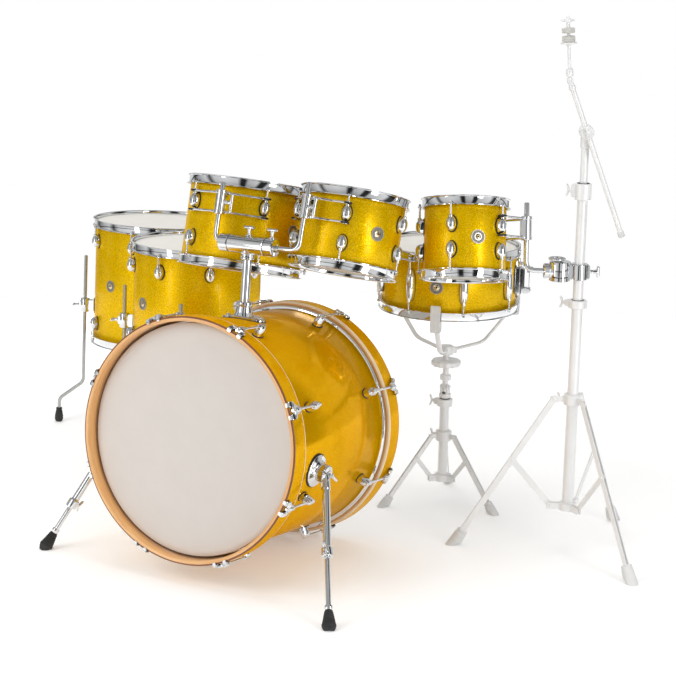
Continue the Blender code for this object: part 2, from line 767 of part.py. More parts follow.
def tom_post(frame, looks):
    """The post and the clamp at its top. Its origin lies on its axis, at the arms' height."""
    place = Matrix.Translation((0, HEAD_HEIGHT, PLATE_FORWARD)) @ Matrix.Rotation(-math.pi / 2, 4, "X")
    drop = post_bottom() - HEAD_HEIGHT
    shapes = [
        rod((-HEAD_REACH, 0, 0), (HEAD_REACH, 0, 0), HEAD_BARREL_RADIUS, 12),
        rod((0, 0, -HEAD_COLLAR_DROP), (0, 0, 0.005), HEAD_COLLAR_RADIUS, 12),
        rod((0, 0, drop), (0, 0, 0), POST_RADIUS, 12),
    ]
    cuts = []
    for side in (-1, 1):
        hole_end = side * (HEAD_REACH - ARM_IN_CLAMP - 0.003)
        cuts.append(rod((hole_end, 0, 0), (side * (HEAD_REACH + 0.01), 0, 0), bore(ARM_RADIUS, 12), 12))
    for knob_x in HEAD_KNOBS:
        shapes += bar_knob((knob_x, 0, HEAD_BARREL_RADIUS - 0.003), Z_AXIS, X_AXIS, 0.020, 0.030)
    node("tom_post", looks["chrome"], frame, shapes, cuts, place)


def head_place(frame):
    """Where the arms' common axis crosses the post, in the kit's frame."""
    return frame.matrix_basis @ Vector((0, HEAD_HEIGHT, PLATE_FORWARD))


def tom_arm(name, side, reach, tilt, rise, frame, kit, look):
    """An L-shaped arm: it turns in the clamp about X, and its tom turns on its upright rod."""
    place = Matrix.Translation(head_place(frame)) @ Matrix.Rotation(-tilt, 4, "X")
    pivot = empty(name + "_pivot", kit, place)
    start = (side * (HEAD_REACH - ARM_IN_CLAMP), 0, 0)
    path = rounded([start, (side * reach, 0, 0), (side * reach, 0, rise + ROD_OVER_TOM)], ARM_BEND)
    node(name, look, pivot, [swept(path, ARM_RADIUS, 12)])
    return empty(name + "_rod", pivot, Matrix.Translation((side * reach, 0, rise)))


def spur(side, swing, frame, kit, looks):
    """A spur: the hub turns on its disc, and the rod slides in the tube. side 1 is the right."""
    label = "right" if side > 0 else "left"
    azimuth = SPUR_AZIMUTH if side > 0 else math.pi - SPUR_AZIMUTH
    hub_base = BASS_DIAMETER / 2 + SPUR_DISC_HEIGHT + SEAT
    axis = (frame.matrix_basis.to_3x3() @ polar(1, azimuth)).normalized()
    origin = frame.matrix_basis @ polar(hub_base, azimuth, SPUR_FORWARD)
    down = frame.matrix_basis.to_3x3() @ Vector((0, -1, 0))
    down = (down - axis * down.dot(axis)).normalized()
    ahead = frame.matrix_basis.to_3x3() @ Z_AXIS
    way = down * math.cos(swing) + ahead * math.sin(swing)
    leg = (axis * math.cos(SPUR_SPLAY) + way * math.sin(SPUR_SPLAY)).normalized()
    pivot = empty("spur_pivot_" + label, kit, facing(origin, axis, leg))
    local_leg = (pivot.matrix_basis.to_3x3().inverted() @ leg).normalized()
    root = Vector((0, 0, SPUR_HUB_HEIGHT * 0.55))
    tube_end = root + local_leg * SPUR_TUBE_LENGTH
    step = SPUR_TUBE_LENGTH - SPUR_COLLAR_LENGTH
    profile = [
        (0, 0),
        (SPUR_TUBE_RADIUS, 0),
        (SPUR_TUBE_RADIUS, step),
        (SPUR_COLLAR_RADIUS, step),
        (SPUR_COLLAR_RADIUS, SPUR_TUBE_LENGTH),
        (0, SPUR_TUBE_LENGTH),
    ]
    shapes = [
        rod((0, 0, 0), (0, 0, SPUR_HUB_HEIGHT), SPUR_HUB_RADIUS, 12),
        turned(profile, 12, root, local_leg),
    ]
    across = local_leg.cross(Z_AXIS).normalized()
    screw_at = tube_end - local_leg * 0.011 + across * SPUR_TUBE_RADIUS
    shapes += wing_screw(screw_at, across, local_leg, 0.018)
    shapes += wing_screw((0, 0, SPUR_HUB_HEIGHT - 0.003), Z_AXIS, across, 0.014)
    bore_start = tube_end - local_leg * SPUR_BORE_DEPTH
    cut = rod(bore_start, tube_end + local_leg * 0.01, bore(SPUR_ROD_RADIUS, 12), 12)
    node("spur_leg_" + label, looks["chrome"], pivot, shapes, [cut])
    world_root = pivot.matrix_basis @ root
    reach = world_root.z / -leg.z
    foot_low = root + local_leg * (reach + SPUR_FOOT_RADIUS)
    foot_high = root + local_leg * (reach - SPUR_FOOT_LENGTH)
    rod_start = tube_end - local_leg * SPUR_ROD_OVERLAP
    under = pivot.matrix_basis.inverted() @ flat_under(pivot.matrix_basis @ foot_low)
    floor = moved(block((0, 0, -0.1), (0.4, 0.4, 0.2)), under)
    foot_step = (foot_high - rod_start).length
    foot_end = (foot_low - rod_start).length
    profile = [
        (0, 0),
        (SPUR_ROD_RADIUS, 0),
        (SPUR_ROD_RADIUS, foot_step),
        (SPUR_FOOT_RADIUS, foot_step),
        (SPUR_FOOT_RADIUS, foot_end),
        (0, foot_end),
    ]
    shapes = [turned(profile, 12, rod_start, local_leg)]
    node("spur_rod_" + label, looks["rubber"], pivot, shapes, [floor])


def flat_under(point):
    """A placement on the floor below a point."""
    return Matrix.Translation((point.x, point.y, 0))


# Floor toms


def floor_tom(name, drum, place, top, tilt, leg_azimuths, bracket_rise, badge_at, kit, looks):
    radius = drum["diameter"] / 2
    half = drum["depth"] / 2
    row = drum["lug_row"]
    turn = Matrix.Rotation(-tilt, 4, "X")
    middle = Vector((*place, top)) - turn.to_3x3() @ Vector((0, 0, half + HOOP_ABOVE))
    frame = empty(name, kit, Matrix.Translation(middle) @ turn)
    lugs = lug_azimuths(FLOOR_LUGS, drum["first_lug"])
    shapes = [shell_ring(radius, half, SHELL_WALL, drum["sides"])]
    for azimuth in lugs:
        shapes.append(small_lug(radius, azimuth, row))
        shapes.append(small_lug(radius, azimuth, -row))
    shapes.append(badge(radius, badge_at, 0, drum["sides"]))
    level = -half + bracket_rise
    cuts = []
    depth = LEG_STANDOFF + LEG_RADIUS + 0.008
    leg_places = []
    for degrees in leg_azimuths:
        azimuth = math.radians(degrees)
        size = (BRACKET_BLOCK[0], BRACKET_BLOCK[1], depth + 0.003)
        middle_out = radius + (depth - 0.003) / 2
        shapes.append(moved(block((0, 0, 0), size), outward(azimuth, level, middle_out)))
        screw_at = polar(radius + depth - 0.003, azimuth, level)
        shapes += wing_screw(screw_at, polar(1, azimuth), Z_AXIS, 0.014)
        hole = polar(radius + LEG_STANDOFF, azimuth, level)
        reach = Z_AXIS * BRACKET_BLOCK[1]
        cuts.append(rod(hole - reach, hole + reach, bore(LEG_RADIUS, 8), 8))
        leg_places.append(floor_leg_place(frame, radius, azimuth, tilt))
    node(name + "_shell", looks["shell"], frame, shapes, cuts)
    end = rod_end_over_lug(row)
    node(name + "_batter_rim", looks["chrome"], frame, rim(drum, 1, lugs, end))
    node(name + "_resonant_rim", looks["chrome"], frame, rim(drum, -1, lugs, end))
    for number, leg_place in enumerate(leg_places, 1):
        node(f"{name}_leg_{number}", looks["chrome"], frame, floor_leg(), (), leg_place)


def floor_leg_place(frame, radius, azimuth, tilt):
    """The foot of a leg, on the floor. Its X points outwards and its Z runs up the leg."""
    out = radius + LEG_STANDOFF
    foot = polar(out + LEG_KICK, azimuth)
    rows = frame.matrix_basis
    lift = LEG_FOOT_RADIUS * math.sin(tilt)
    height = (lift - rows[2][0] * foot.x - rows[2][1] * foot.y - rows[2][3]) / rows[2][2]
    return facing(polar(out, azimuth, height), Z_AXIS, polar(1, azimuth))


def floor_leg():
    """A leg with its kick outwards. The origin is on the leg's axis, level with the foot's end."""
    corners = [
        (LEG_KICK, 0, 0.010),
        (LEG_KICK, 0, LEG_BEND_BOTTOM),
        (0, 0, LEG_BEND_TOP),
        (0, 0, LEG_LENGTH),
    ]
    shaft = swept(rounded(corners, 0.016, 2), LEG_RADIUS, 6)
    foot = rod((LEG_KICK, 0, 0), (LEG_KICK, 0, LEG_FOOT_HEIGHT), LEG_FOOT_RADIUS, 8)
    return [shaft, foot]


# Snare drum and its stand


def snare_drum(tilter, looks):
    """The snare drum lies on the basket, so its parts ride on the tilter's pivot."""
    radius = SNARE["diameter"] / 2
    half = SNARE["depth"] / 2
    lift = SNARE_RIM_BOTTOM + HOOP_ABOVE + half - BASKET_TILT_HEIGHT
    place = Matrix.Translation((0, 0, lift))
    lugs = lug_azimuths(SNARE_LUGS, SNARE["first_lug"])
    shapes = [shell_ring(radius, half, SHELL_WALL, SNARE["sides"])]
    low = long_oval(SNARE_LUG_WIDTH, SNARE_LUG_LENGTH, -0.003)
    high = long_oval(SNARE_LUG_WIDTH * SNARE_LUG_TAPER, SNARE_LUG_LENGTH * SNARE_LUG_TAPER, SNARE_LUG_HEIGHT)
    for azimuth in lugs:
        shapes.append(moved(lofted(low, high), outward(azimuth, 0, radius)))
    shapes.append(badge(radius, SNARE_BADGE, 0, SNARE["sides"]))
    depth = STRAINER_BLOCK[1]
    box = block((0, 0, depth / 2 - 0.002), (STRAINER_BLOCK[0], STRAINER_BLOCK[2], depth + 0.004))
    shapes.append(moved(box, outward(SNARE_STRAINER, 0, radius)))
    butt = block((0, 0, 0.005), (STRAINER_BLOCK[0], 0.040, 0.016))
    shapes.append(moved(butt, outward(SNARE_STRAINER + math.pi, 0, radius)))
    pin_at = lever_pin()
    across = polar(1, SNARE_STRAINER + math.pi / 2)
    cheek_shapes, cut = lever_seat(pin_at, across)
    node("snare_shell", looks["snare"], tilter, shapes + cheek_shapes, [cut], place)
    end = lug_edge(SNARE_LUG_LENGTH, SNARE_LUG_HEIGHT, SNARE_LUG_TAPER, ROD_STANDOFF - ROD_RADIUS) + 2 * SEAT
    node("snare_batter_rim", looks["chrome"], tilter, rim(SNARE, 1, lugs, end), (), place)
    film = -(half + SEAT + FILM)
    band = block((0, 0, film - WIRE_BAND[2] / 2 + 0.0005), WIRE_BAND, Matrix.Rotation(SNARE_STRAINER, 3, "Z"))
    node("snare_resonant_rim", looks["chrome"], tilter, rim(SNARE, -1, lugs, end, [band]), (), place)
    pivot = empty("strainer_pivot", tilter, place @ facing(pin_at, Z_AXIS, polar(1, SNARE_STRAINER)))
    width = LEVER_WIDTH - 2 * JOINT_PLAY
    handle = [lever_outline(width, x) for x in (-LEVER_THICKNESS / 2, LEVER_THICKNESS / 2)]
    lever = [
        rod((0, -width / 2, 0), (0, width / 2, 0), LEVER_PIN_RADIUS + 0.0035, 10),
        lofted(*handle),
        block((0.006, 0, LEVER_LENGTH - 0.005), (0.016, width * 0.6, 0.006)),
    ]
    hole = rod((0, -width, 0), (0, width, 0), bore(LEVER_PIN_RADIUS, 10), 10)
    node("snare_strainer_lever", looks["chrome"], pivot, lever, [hole])


def lever_outline(width, x):
    """The lever seen from outside: a long drop that is widest near its upper end."""
    half = [(0.32, 0), (0.44, 0.55), (0.5, 0.78), (0.36, 0.94), (0.16, 1)]
    outline = half + [(-y, z) for y, z in reversed(half)]
    return [Vector((x, y * width, z * LEVER_LENGTH)) for y, z in outline]


def lever_pin():
    """The lever's pin, low on the strainer's outer face."""
    radius = SNARE["diameter"] / 2 + STRAINER_BLOCK[1]
    return polar(radius + 0.010, SNARE_STRAINER, -STRAINER_BLOCK[2] / 2 + 0.010)


def lever_seat(pin_at, across):
    """Two cheeks with the pin between them, and the notch that clears the lever's hub."""
    out = polar(1, SNARE_STRAINER)
    turn = Matrix((out, across, Z_AXIS)).transposed()
    shapes = [rod(pin_at - across * 0.012, pin_at + across * 0.012, LEVER_PIN_RADIUS, 10)]
    for side in (-1, 1):
        middle = pin_at - out * 0.004 + across * side * (LEVER_WIDTH / 2 + 0.002)
        shapes.append(block(middle, (0.022, 0.004, 0.014), turn))
    notch = block(pin_at - out * 0.012, (0.009, LEVER_WIDTH, 0.020), turn)
    return shapes, notch


def snare_stand(kit, looks):
    place = empty("snare_stand", kit, Matrix.Translation((*SNARE_PLACE, 0)))
    tripod("snare_stand", SNARE_TRIPOD, SNARE_TUBE_TOP, place, looks)
    inner = SNARE_TRIPOD["inner_radius"]
    fork_base = BASKET_TILT_HEIGHT - 0.018
    tongue = 0.010
    shapes = [
        rod((0, 0, SNARE_TUBE_TOP - 0.120), (0, 0, fork_base + 0.002), inner, 12),
        rod((0, 0, fork_base - 0.012), (0, 0, fork_base), 0.016, 12),
        rod((-0.014, 0, BASKET_TILT_HEIGHT), (0.014, 0, BASKET_TILT_HEIGHT), PIN_RADIUS, 10),
    ]
    for side in (-1, 1):
        fork_out = side * (tongue / 2 + JOINT_PLAY + 0.0025)
        fork_middle = (fork_base + BASKET_TILT_HEIGHT + 0.002) / 2
        fork_height = BASKET_TILT_HEIGHT - fork_base + 0.014
        shapes.append(block((fork_out, 0, fork_middle), (0.005, 0.020, fork_height)))
    node("snare_stand_upper_tube", looks["stand"], place, shapes)
    tilter = empty("basket_pivot", place, Matrix.Translation((0, 0, BASKET_TILT_HEIGHT)))
    basket(tilter, tongue, looks)
    return tilter


def basket(tilter, tongue, looks):
    """Tongue, knob, hub and three arms whose ends hold the snare drum's lower hoop."""
    hub = BASKET_HUB_HEIGHT - BASKET_TILT_HEIGHT
    knob = BASKET_KNOB_HEIGHT - BASKET_TILT_HEIGHT
    seat = SNARE_RIM_BOTTOM - BASKET_TILT_HEIGHT - SEAT
    radius = SNARE["diameter"] / 2
    profile = [
        (0, 0.020),
        (0.015, 0.020),
        (0.015, 0.034),
        (BASKET_STEM_RADIUS, 0.034),
        (BASKET_STEM_RADIUS, knob - 0.008),
        (BASKET_KNOB_RADIUS, knob - 0.008),
        (BASKET_KNOB_RADIUS, knob + 0.008),
        (BASKET_STEM_RADIUS, knob + 0.008),
        (BASKET_STEM_RADIUS, hub - 0.011),
        (BASKET_HUB_RADIUS, hub - 0.011),
        (BASKET_HUB_RADIUS, hub + 0.013),
        (0, hub + 0.013),
    ]
    shapes = [turned(profile, 12), block((0, 0, 0.011), (tongue, 0.018, 0.034))]
    for degrees in BASKET_ARMS:
        azimuth = math.radians(degrees)
        corners = [(0.010, hub), (0.105, hub + 0.018), (radius, seat - 0.020)]
        path = rounded([polar(r, azimuth, z) for r, z in corners], 0.030, 2)
        shapes.append(swept(path, BASKET_ARM_WIDTH / 2 * 0.8, 6, BASKET_ARM_FLAT))
        shapes += [moved(shape, Matrix.Rotation(azimuth, 4, "Z")) for shape in basket_grip(radius, seat)]
    cut = rod((-0.03, 0, 0), (0.03, 0, 0), bore(PIN_RADIUS, 10), 10)
    node("snare_stand_basket", looks["stand"], tilter, shapes, [cut])


def basket_grip(radius, seat):
    """The rubber grip at an arm's end: a seat under the hoop, and a tall lip outside it."""
    inner = radius - 0.006
    lip = radius + HOOP_FLANGE + 0.001
    outer = lip + 0.007
    high = seat + GRIP_RISE
    foot = block(((inner + lip) / 2 + 0.001, 0, seat - 0.014), (lip - inner + 0.002, GRIP_WIDTH, 0.028))
    outline = [(lip, seat - 0.026), (outer, seat - 0.026), (outer, high - 0.004), (outer - 0.003, high), (lip, high)]
    half = GRIP_WIDTH / 2
    low = [Vector((x, -half + 0.001, z)) for x, z in outline]
    return [foot, lofted(low, [Vector((x, half - 0.001, z)) for x, z in outline])]


def tripod(name, stand, tube_top, place, looks):
    """A tripod base that folds: the legs hang on a collar that slides, and each brace links
    its leg to a fixed collar at the tube's foot. The brace's lower pivot is left open."""
    upper = Vector((stand["upper"][0], 0, stand["upper"][1]))
    lower = Vector((stand["lower"][0], 0, stand["lower"][1]))
    tube = stand["tube_radius"]
    width = stand["strip_width"]
    foot_middle = Vector((stand["foot_radius"], 0, 0))
    leg_way = (foot_middle - upper).normalized()
    knee = upper + leg_way * stand["knee"]
    gap = BRACE_THICKNESS / 2 + JOINT_PLAY
    turns = [math.radians(stand["turn"] + 120 * i) for i in range(3)]

    collar_out = tube + COLLAR_WALL
    inside = sleeve(stand["inner_radius"])
    profile = [
        (inside, lower.z - 0.010),
        (collar_out, lower.z - 0.010),
        (collar_out, lower.z + 0.010),
        (tube, lower.z + 0.010),
        (tube, tube_top - CLAMP_HEIGHT / 2),
        (collar_out, tube_top - CLAMP_HEIGHT / 2),
        (collar_out, tube_top),
        (inside, tube_top),
    ]
    shapes = [turned(profile, 12)]
    screw_at = Vector((-collar_out + 0.003, 0, tube_top - CLAMP_HEIGHT / 4))
    shapes += wing_screw(screw_at, -X_AXIS, Z_AXIS, 0.020)
    for angle in turns:
        turn = Matrix.Rotation(angle, 3, "Z")
        length = lower.x - tube + stand["open_end"]
        for side in (-1, 1):
            cheek_y = side * (gap + JOINT_PLAY + 0.0015)
            middle = turn @ Vector((tube + length / 2, cheek_y, lower.z))
            shapes.append(block(middle, (length, 0.003, 0.018), turn))
    node(name + "_base_tube", looks["stand"], place, shapes)

    shapes = [turned_tube(collar_out, bore(tube, 12), -COLLAR_HEIGHT / 2, COLLAR_HEIGHT / 2, 12)]
    shapes += wing_screw((-collar_out + 0.002, 0, 0), -X_AXIS, Z_AXIS, 0.020)
    holes = []
    for angle in turns:
        turn = Matrix.Rotation(angle, 3, "Z")
        ear_length = upper.x - tube + width / 2
        ear_middle = turn @ Vector((tube + 0.003 + ear_length / 2, 0, 0))
        shapes.append(block(ear_middle, (ear_length, BRACE_THICKNESS, width), turn))
        hole_at = turn @ Vector((upper.x, 0, 0))
        side = turn @ Vector((0, 0.01, 0))
        holes.append(rod(hole_at - side, hole_at + side, bore(PIN_RADIUS, 8), 8))
    collar = empty(name + "_collar_slide", place, Matrix.Translation((0, 0, upper.z)))
    node(name + "_leg_collar", looks["stand"], collar, shapes, holes)

    for number, angle in enumerate(turns, 1):
        turn = Matrix.Rotation(angle, 4, "Z")
        pivot = empty(f"{name}_leg_pivot_{number}", place, turn @ Matrix.Translation(upper))
        leg = tripod_leg(stand, upper, leg_way, gap)
        node(f"{name}_leg_{number}", looks["stand"], pivot, *leg)
        pivot = empty(f"{name}_brace_pivot_{number}", place, turn @ Matrix.Translation(knee))
        shapes, cuts = tripod_brace(stand, lower - knee)
        node(f"{name}_brace_{number}", looks["stand"], pivot, shapes, cuts)


def turned_tube(outside, inside, low, high, sides):
    return turned([(inside, low), (outside, low), (outside, high), (inside, high)], sides)


def tripod_leg(stand, upper, way, gap):
    """Two strips side by side, with a pin at the collar, a pin at the knee and a rubber foot."""
    width = stand["strip_width"]
    floor_run = upper.z / -way.z
    strip_end = floor_run - stand["foot_length"] * 0.6
    side = Vector((0, 1, 0))
    up = way.cross(side)
    turn = Matrix((way, side, up)).transposed()
    shapes = []
    for sign in (-1, 1):
        start = -width / 2
        middle = way * ((start + strip_end) / 2) + side * sign * (gap + STRIP_THICKNESS / 2)
        shapes.append(block(middle, (strip_end - start, STRIP_THICKNESS, width), turn))
    reach = side * (gap + STRIP_THICKNESS / 2)
    for distance in (0, stand["knee"]):
        shapes.append(rod(way * distance - reach, way * distance + reach, PIN_RADIUS, 6))
    foot_start = floor_run - stand["foot_length"]
    shapes.append(rod(way * foot_start, way * (floor_run + stand["foot"]), stand["foot"], 8))
    depth = 0.2
    floor = block((0, 0, -upper.z - depth / 2), (4 * stand["foot_radius"], 0.4, depth))
    return shapes, [floor]


def tripod_brace(stand, run):
    """A flat strip from the knee to the fixed collar, where it ends free between two cheeks."""
    length = run.length
    way = run.normalized()
    side = Vector((0, 1, 0))
    turn = Matrix((way, side, way.cross(side))).transposed()
    width = stand["strip_width"]
    start = -width / 2
    middle = way * ((start + length) / 2)
    shapes = [block(middle, (length - start, BRACE_THICKNESS, width), turn)]
    hole = rod(side * -0.01, side * 0.01, bore(PIN_RADIUS, 8), 8)
    return shapes, [hole]


# Boom stand


def boom_stand(kit, looks):
    place = empty("boom_stand", kit, Matrix.Translation((*BOOM_PLACE, 0)))
    tripod("boom_stand", BOOM_TRIPOD, BOOM_TUBE_TOP, place, looks)
    boom_middle_tube(place, looks)
    boom_upper_tube(place, looks)
    boom_arm(place, looks)
    tom8_arm(place, looks)


def boom_middle_tube(place, looks):
    """The middle tube, with the clamp at its top and the multi-clamp that carries the small tom."""
    radius = BOOM_TRIPOD["inner_radius"]
    bottom = BOOM_TUBE_TOP - MIDDLE_TUBE_OVERLAP
    collar = radius + COLLAR_WALL * 0.8
    bush = sleeve(UPPER_TUBE_RADIUS)
    inside = radius - TUBE_WALL
    low = TOM8_ARM_HEIGHT - 0.020
    high = TOM8_ARM_HEIGHT + 0.020
    profile = [
        (inside, bottom),
        (radius, bottom),
        (radius, low),
        (radius + COLLAR_WALL, low),
        (radius + COLLAR_WALL, high),
        (radius, high),
        (radius, MIDDLE_TUBE_TOP - CLAMP_HEIGHT),
        (collar, MIDDLE_TUBE_TOP - CLAMP_HEIGHT),
        (collar, MIDDLE_TUBE_TOP),
        (bush, MIDDLE_TUBE_TOP),
        (bush, MIDDLE_TUBE_TOP - CLAMP_HEIGHT),
        (inside, MIDDLE_TUBE_TOP - CLAMP_HEIGHT),
    ]
    shapes = [turned(profile, 12)]
    shapes += wing_screw((-collar + 0.003, 0, MIDDLE_TUBE_TOP - CLAMP_HEIGHT / 2), -X_AXIS, Z_AXIS)
    way = polar(1, TOM8_ARM_AZIMUTH)
    level = Vector((0, 0, TOM8_ARM_HEIGHT))
    turn = Matrix.Rotation(TOM8_ARM_AZIMUTH, 3, "Z")
    body_length = MULTI_CUP_OUT - radius
    shapes.append(block(level + way * (radius + body_length / 2), (body_length, 0.030, 0.036), turn))
    cup = level + way * MULTI_CUP_OUT
    reach = Z_AXIS * MULTI_CUP_HEIGHT / 2
    shapes.append(rod(cup - reach, cup + reach, MULTI_CUP_RADIUS, 12))
    jaw_end = level + way * MULTI_CLAMP_LENGTH
    shapes.append(rod(cup, jaw_end, MULTI_JAW_RADIUS, 12))
    shapes += bar_knob(level - way * (radius + COLLAR_WALL - 0.003), -way, Z_AXIS, 0.022, 0.028)
    shapes += bar_knob(cup + reach - Z_AXIS * 0.003, Z_AXIS, way, 0.011, 0.042)
    cut = rod(level + way * (radius + 0.012), jaw_end + way * 0.01, bore(ARM_RADIUS, 12), 12)
    node("boom_stand_middle_tube", looks["stand"], place, shapes, [cut])


def tom8_arm(place, looks):
    """The small tom's arm turns in the multi-clamp about its own level part."""
    way = polar(1, TOM8_ARM_AZIMUTH)
    lean = Matrix.Rotation(TOM8_LEAN, 4, "X")
    pivot = empty("tom8_arm_pivot", place, facing(Vector((0, 0, TOM8_ARM_HEIGHT)), Z_AXIS, way) @ lean)
    start = BOOM_TRIPOD["tube_radius"] + 0.012
    corners = [(start, 0, 0), (TOM8_REACH, 0, 0), (TOM8_REACH, 0, TOM8_RISE + ROD_OVER_TOM)]
    node("tom8_arm", looks["chrome"], pivot, [swept(rounded(corners, ARM_BEND), ARM_RADIUS, 12)])
    swivel = Matrix.Translation((TOM8_REACH, 0, TOM8_RISE)) @ Matrix.Rotation(-TOM8_ARM_AZIMUTH, 4, "Z")
    rack_tom("tom8", TOM8, empty("tom8_arm_rod", pivot, swivel), BADGE8_AZIMUTH, looks)


def boom_plane():
    """The boom's way up, and the level axis that it tilts about."""
    lean = polar(1, BOOM_AZIMUTH)
    up = Z_AXIS * math.cos(BOOM_LEAN) + lean * math.sin(BOOM_LEAN)
    return up, Z_AXIS.cross(lean)


def boom_upper_tube(place, looks):
    """The upper tube and the half of the tilter that stays on it, with the tilter's pin."""
    radius = UPPER_TUBE_RADIUS
    axis = boom_plane()[1]
    step = UPPER_TUBE_TOP - 0.016
    top = BOOM_HEIGHT + 0.006
    bottom = MIDDLE_TUBE_TOP - UPPER_TUBE_OVERLAP
    profile = [(0, bottom), (radius, bottom), (radius, step)]
    profile += [(radius + 0.003, step), (radius + 0.003, top), (0, top)]
    shapes = [turned(profile, 12)]
    level = Vector((0, 0, BOOM_HEIGHT))
    shapes.append(rod(level - axis * TILTER_HALF, level + axis * TILTER_HALF, 0.017, 12))
    pin_end = BOOM_SIDE + 0.020
    shapes.append(rod(level, level + axis * pin_end, PIN_RADIUS + 0.001, 10))
    shapes += wing_screw(level + axis * (pin_end - 0.001), axis, Z_AXIS, 0.006)
    node("boom_stand_upper_tube", looks["stand"], place, shapes)


def boom_arm(place, looks):
    """The boom and its half of the tilter, on the pin beside the tube."""
    up, axis = boom_plane()
    pivot = empty("boom_pivot", place, facing(Vector((0, 0, BOOM_HEIGHT)), axis, up))
    inner = TILTER_HALF + SEAT
    outer = BOOM_SIDE + 0.0105
    side = Vector((0, 0, BOOM_SIDE))
    shapes = [
        rod(side - X_AXIS * BOOM_DOWN, side + X_AXIS * BOOM_UP, BOOM_RADIUS, 8),
        rod((0, 0, inner), (0, 0, outer), 0.0165, 12),
        rod(side - X_AXIS * (BOOM_DOWN + 0.008), side - X_AXIS * (BOOM_DOWN - 0.006), BOOM_RADIUS + 0.002, 8),
    ]
    fork = side + X_AXIS * BOOM_UP
    for sign in (-1, 1):
        cheek = fork + Vector((0.008, 0, sign * (0.004 + JOINT_PLAY + 0.002)))
        shapes.append(block(cheek, (0.022, 0.014, 0.004)))
    shapes.append(block(fork - X_AXIS * 0.003, (0.008, 0.014, 2 * (0.008 + JOINT_PLAY))))
    pin_at = fork + X_AXIS * 0.012
    shapes.append(rod(pin_at - Vector((0, 0, 0.008)), pin_at + Vector((0, 0, 0.008)), PIN_RADIUS, 8))
    cut = rod((0, 0, 0), (0, 0, 2 * outer), bore(PIN_RADIUS + 0.001, 10), 10)
    node("boom_arm", looks["stand"], pivot, shapes, [cut])
    cymbal_tilter(pivot, pin_at, looks)


def cymbal_tilter(pivot, pin_at, looks):
    """The cymbal rod with its seat, felts and sleeve, on the pin at the boom's end."""
    turn = Matrix.Rotation(BOOM_LEAN - CYMBAL_ROD_LEAN, 4, "Z")
    tilt = empty("cymbal_tilter_pivot", pivot, Matrix.Translation(pin_at) @ turn.inverted())
    stack_low = CYMBAL_ROD_LENGTH - FELT_STACK
    nut = CYMBAL_ROD_LENGTH - 0.012
    profile = [
        (0, 0.012),
        (0.009, 0.012),
        (0.009, 0.028),
        (CYMBAL_ROD_RADIUS, 0.028),
        (CYMBAL_ROD_RADIUS, stack_low - 0.006),
        (FELT_RADIUS, stack_low - 0.006),
        (FELT_RADIUS, stack_low),
        (FELT_RADIUS * 0.8, stack_low),
        (FELT_RADIUS * 0.8, nut),
        (0.009, nut),
        (0.009, CYMBAL_ROD_LENGTH + 0.004),
        (0, CYMBAL_ROD_LENGTH + 0.004),
    ]
    shapes = [
        turned(profile, 10, (0, 0, 0), X_AXIS),
        rod((0, 0, -0.004), (0, 0, 0.004), 0.0075, 8),
        block((0.008, 0, 0), (0.016, 0.010, 0.0076)),
    ]
    cut = rod((0, 0, -0.02), (0, 0, 0.02), bore(PIN_RADIUS, 8), 8)
    node("cymbal_tilter", looks["stand"], tilt, shapes, [cut])


def all_looks():
    return dict(
        shell=material("golden sparkle lacquer", (0.62, 0.36, 0.02), 0.18, 0.35),
        snare=material("snare lacquer", (0.62, 0.36, 0.02), 0.18, 0.35),
        hoop=material("lacquered maple hoop", (0.60, 0.36, 0.03), 0.22, 0.2),
        head=material("coated head", (0.86, 0.84, 0.78), 0.55, 0.0),
        chrome=material("chrome", (0.75, 0.76, 0.78), 0.12, 1.0),
        rubber=material("black rubber", (0.02, 0.02, 0.02), 0.7, 0.0),
        stand=material("pale stand metal", (0.80, 0.80, 0.79), 0.35, 0.6),
    )


def settle_on_origin(kit):
    """Moves the whole kit, so that the bottom centre of its bounding box is the origin."""
    bpy.context.view_layer.update()
    corners = []
    for made in bpy.context.scene.objects:
        if made.type == "MESH":
            corners += [made.matrix_world @ vertex.co for vertex in made.data.vertices]
    low = Vector([min(c[i] for c in corners) for i in range(3)])
    high = Vector([max(c[i] for c in corners) for i in range(3)])
    kit.location = (-(low.x + high.x) / 2, -(low.y + high.y) / 2, -low.z)


def main():
    for old in list(bpy.data.objects):
        bpy.data.objects.remove(old)
    looks = all_looks()
    kit = empty("kit")
    frame = bass_frame(kit)
    bass_shell(frame, looks)
    bass_hoop("bass_front_hoop", 1, frame, looks["hoop"])
    bass_hoop("bass_batter_hoop", -1, frame, looks["hoop"])
    bass_head("bass_front_head", 1, frame, looks["head"])
    bass_head("bass_batter_head", -1, frame, looks["head"])
    spur(1, SPUR_SWING_RIGHT, frame, kit, looks)
    spur(-1, SPUR_SWING_LEFT, frame, kit, looks)
    tom_post(frame, looks)
    pivot = tom_arm("tom12_arm", -1, TOM12_REACH, TOM12_TILT, TOM12_RISE, frame, kit, looks["chrome"])
    rack_tom("tom12", TOM12, pivot, BADGE12_AZIMUTH, looks)
    pivot = tom_arm("tom10_arm", 1, TOM10_REACH, TOM10_TILT, TOM10_RISE, frame, kit, looks["chrome"])
    rack_tom("tom10", TOM10, pivot, BADGE10_AZIMUTH, looks)
    floor_tom("floor14", FLOOR14, FLOOR14_PLACE, FLOOR14_TOP, FLOOR14_TILT, FLOOR14_LEGS,
              FLOOR14_BRACKET, FLOOR14_BADGE, kit, looks)
    floor_tom("floor16", FLOOR16, FLOOR16_PLACE, FLOOR16_TOP, FLOOR16_TILT, FLOOR16_LEGS,
              FLOOR16_BRACKET, FLOOR16_BADGE, kit, looks)
    tilter = snare_stand(kit, looks)
    snare_drum(tilter, looks)
    boom_stand(kit, looks)
    settle_on_origin(kit)


main()
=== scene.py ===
import math

import bmesh
import bpy
from mathutils import Matrix, Vector


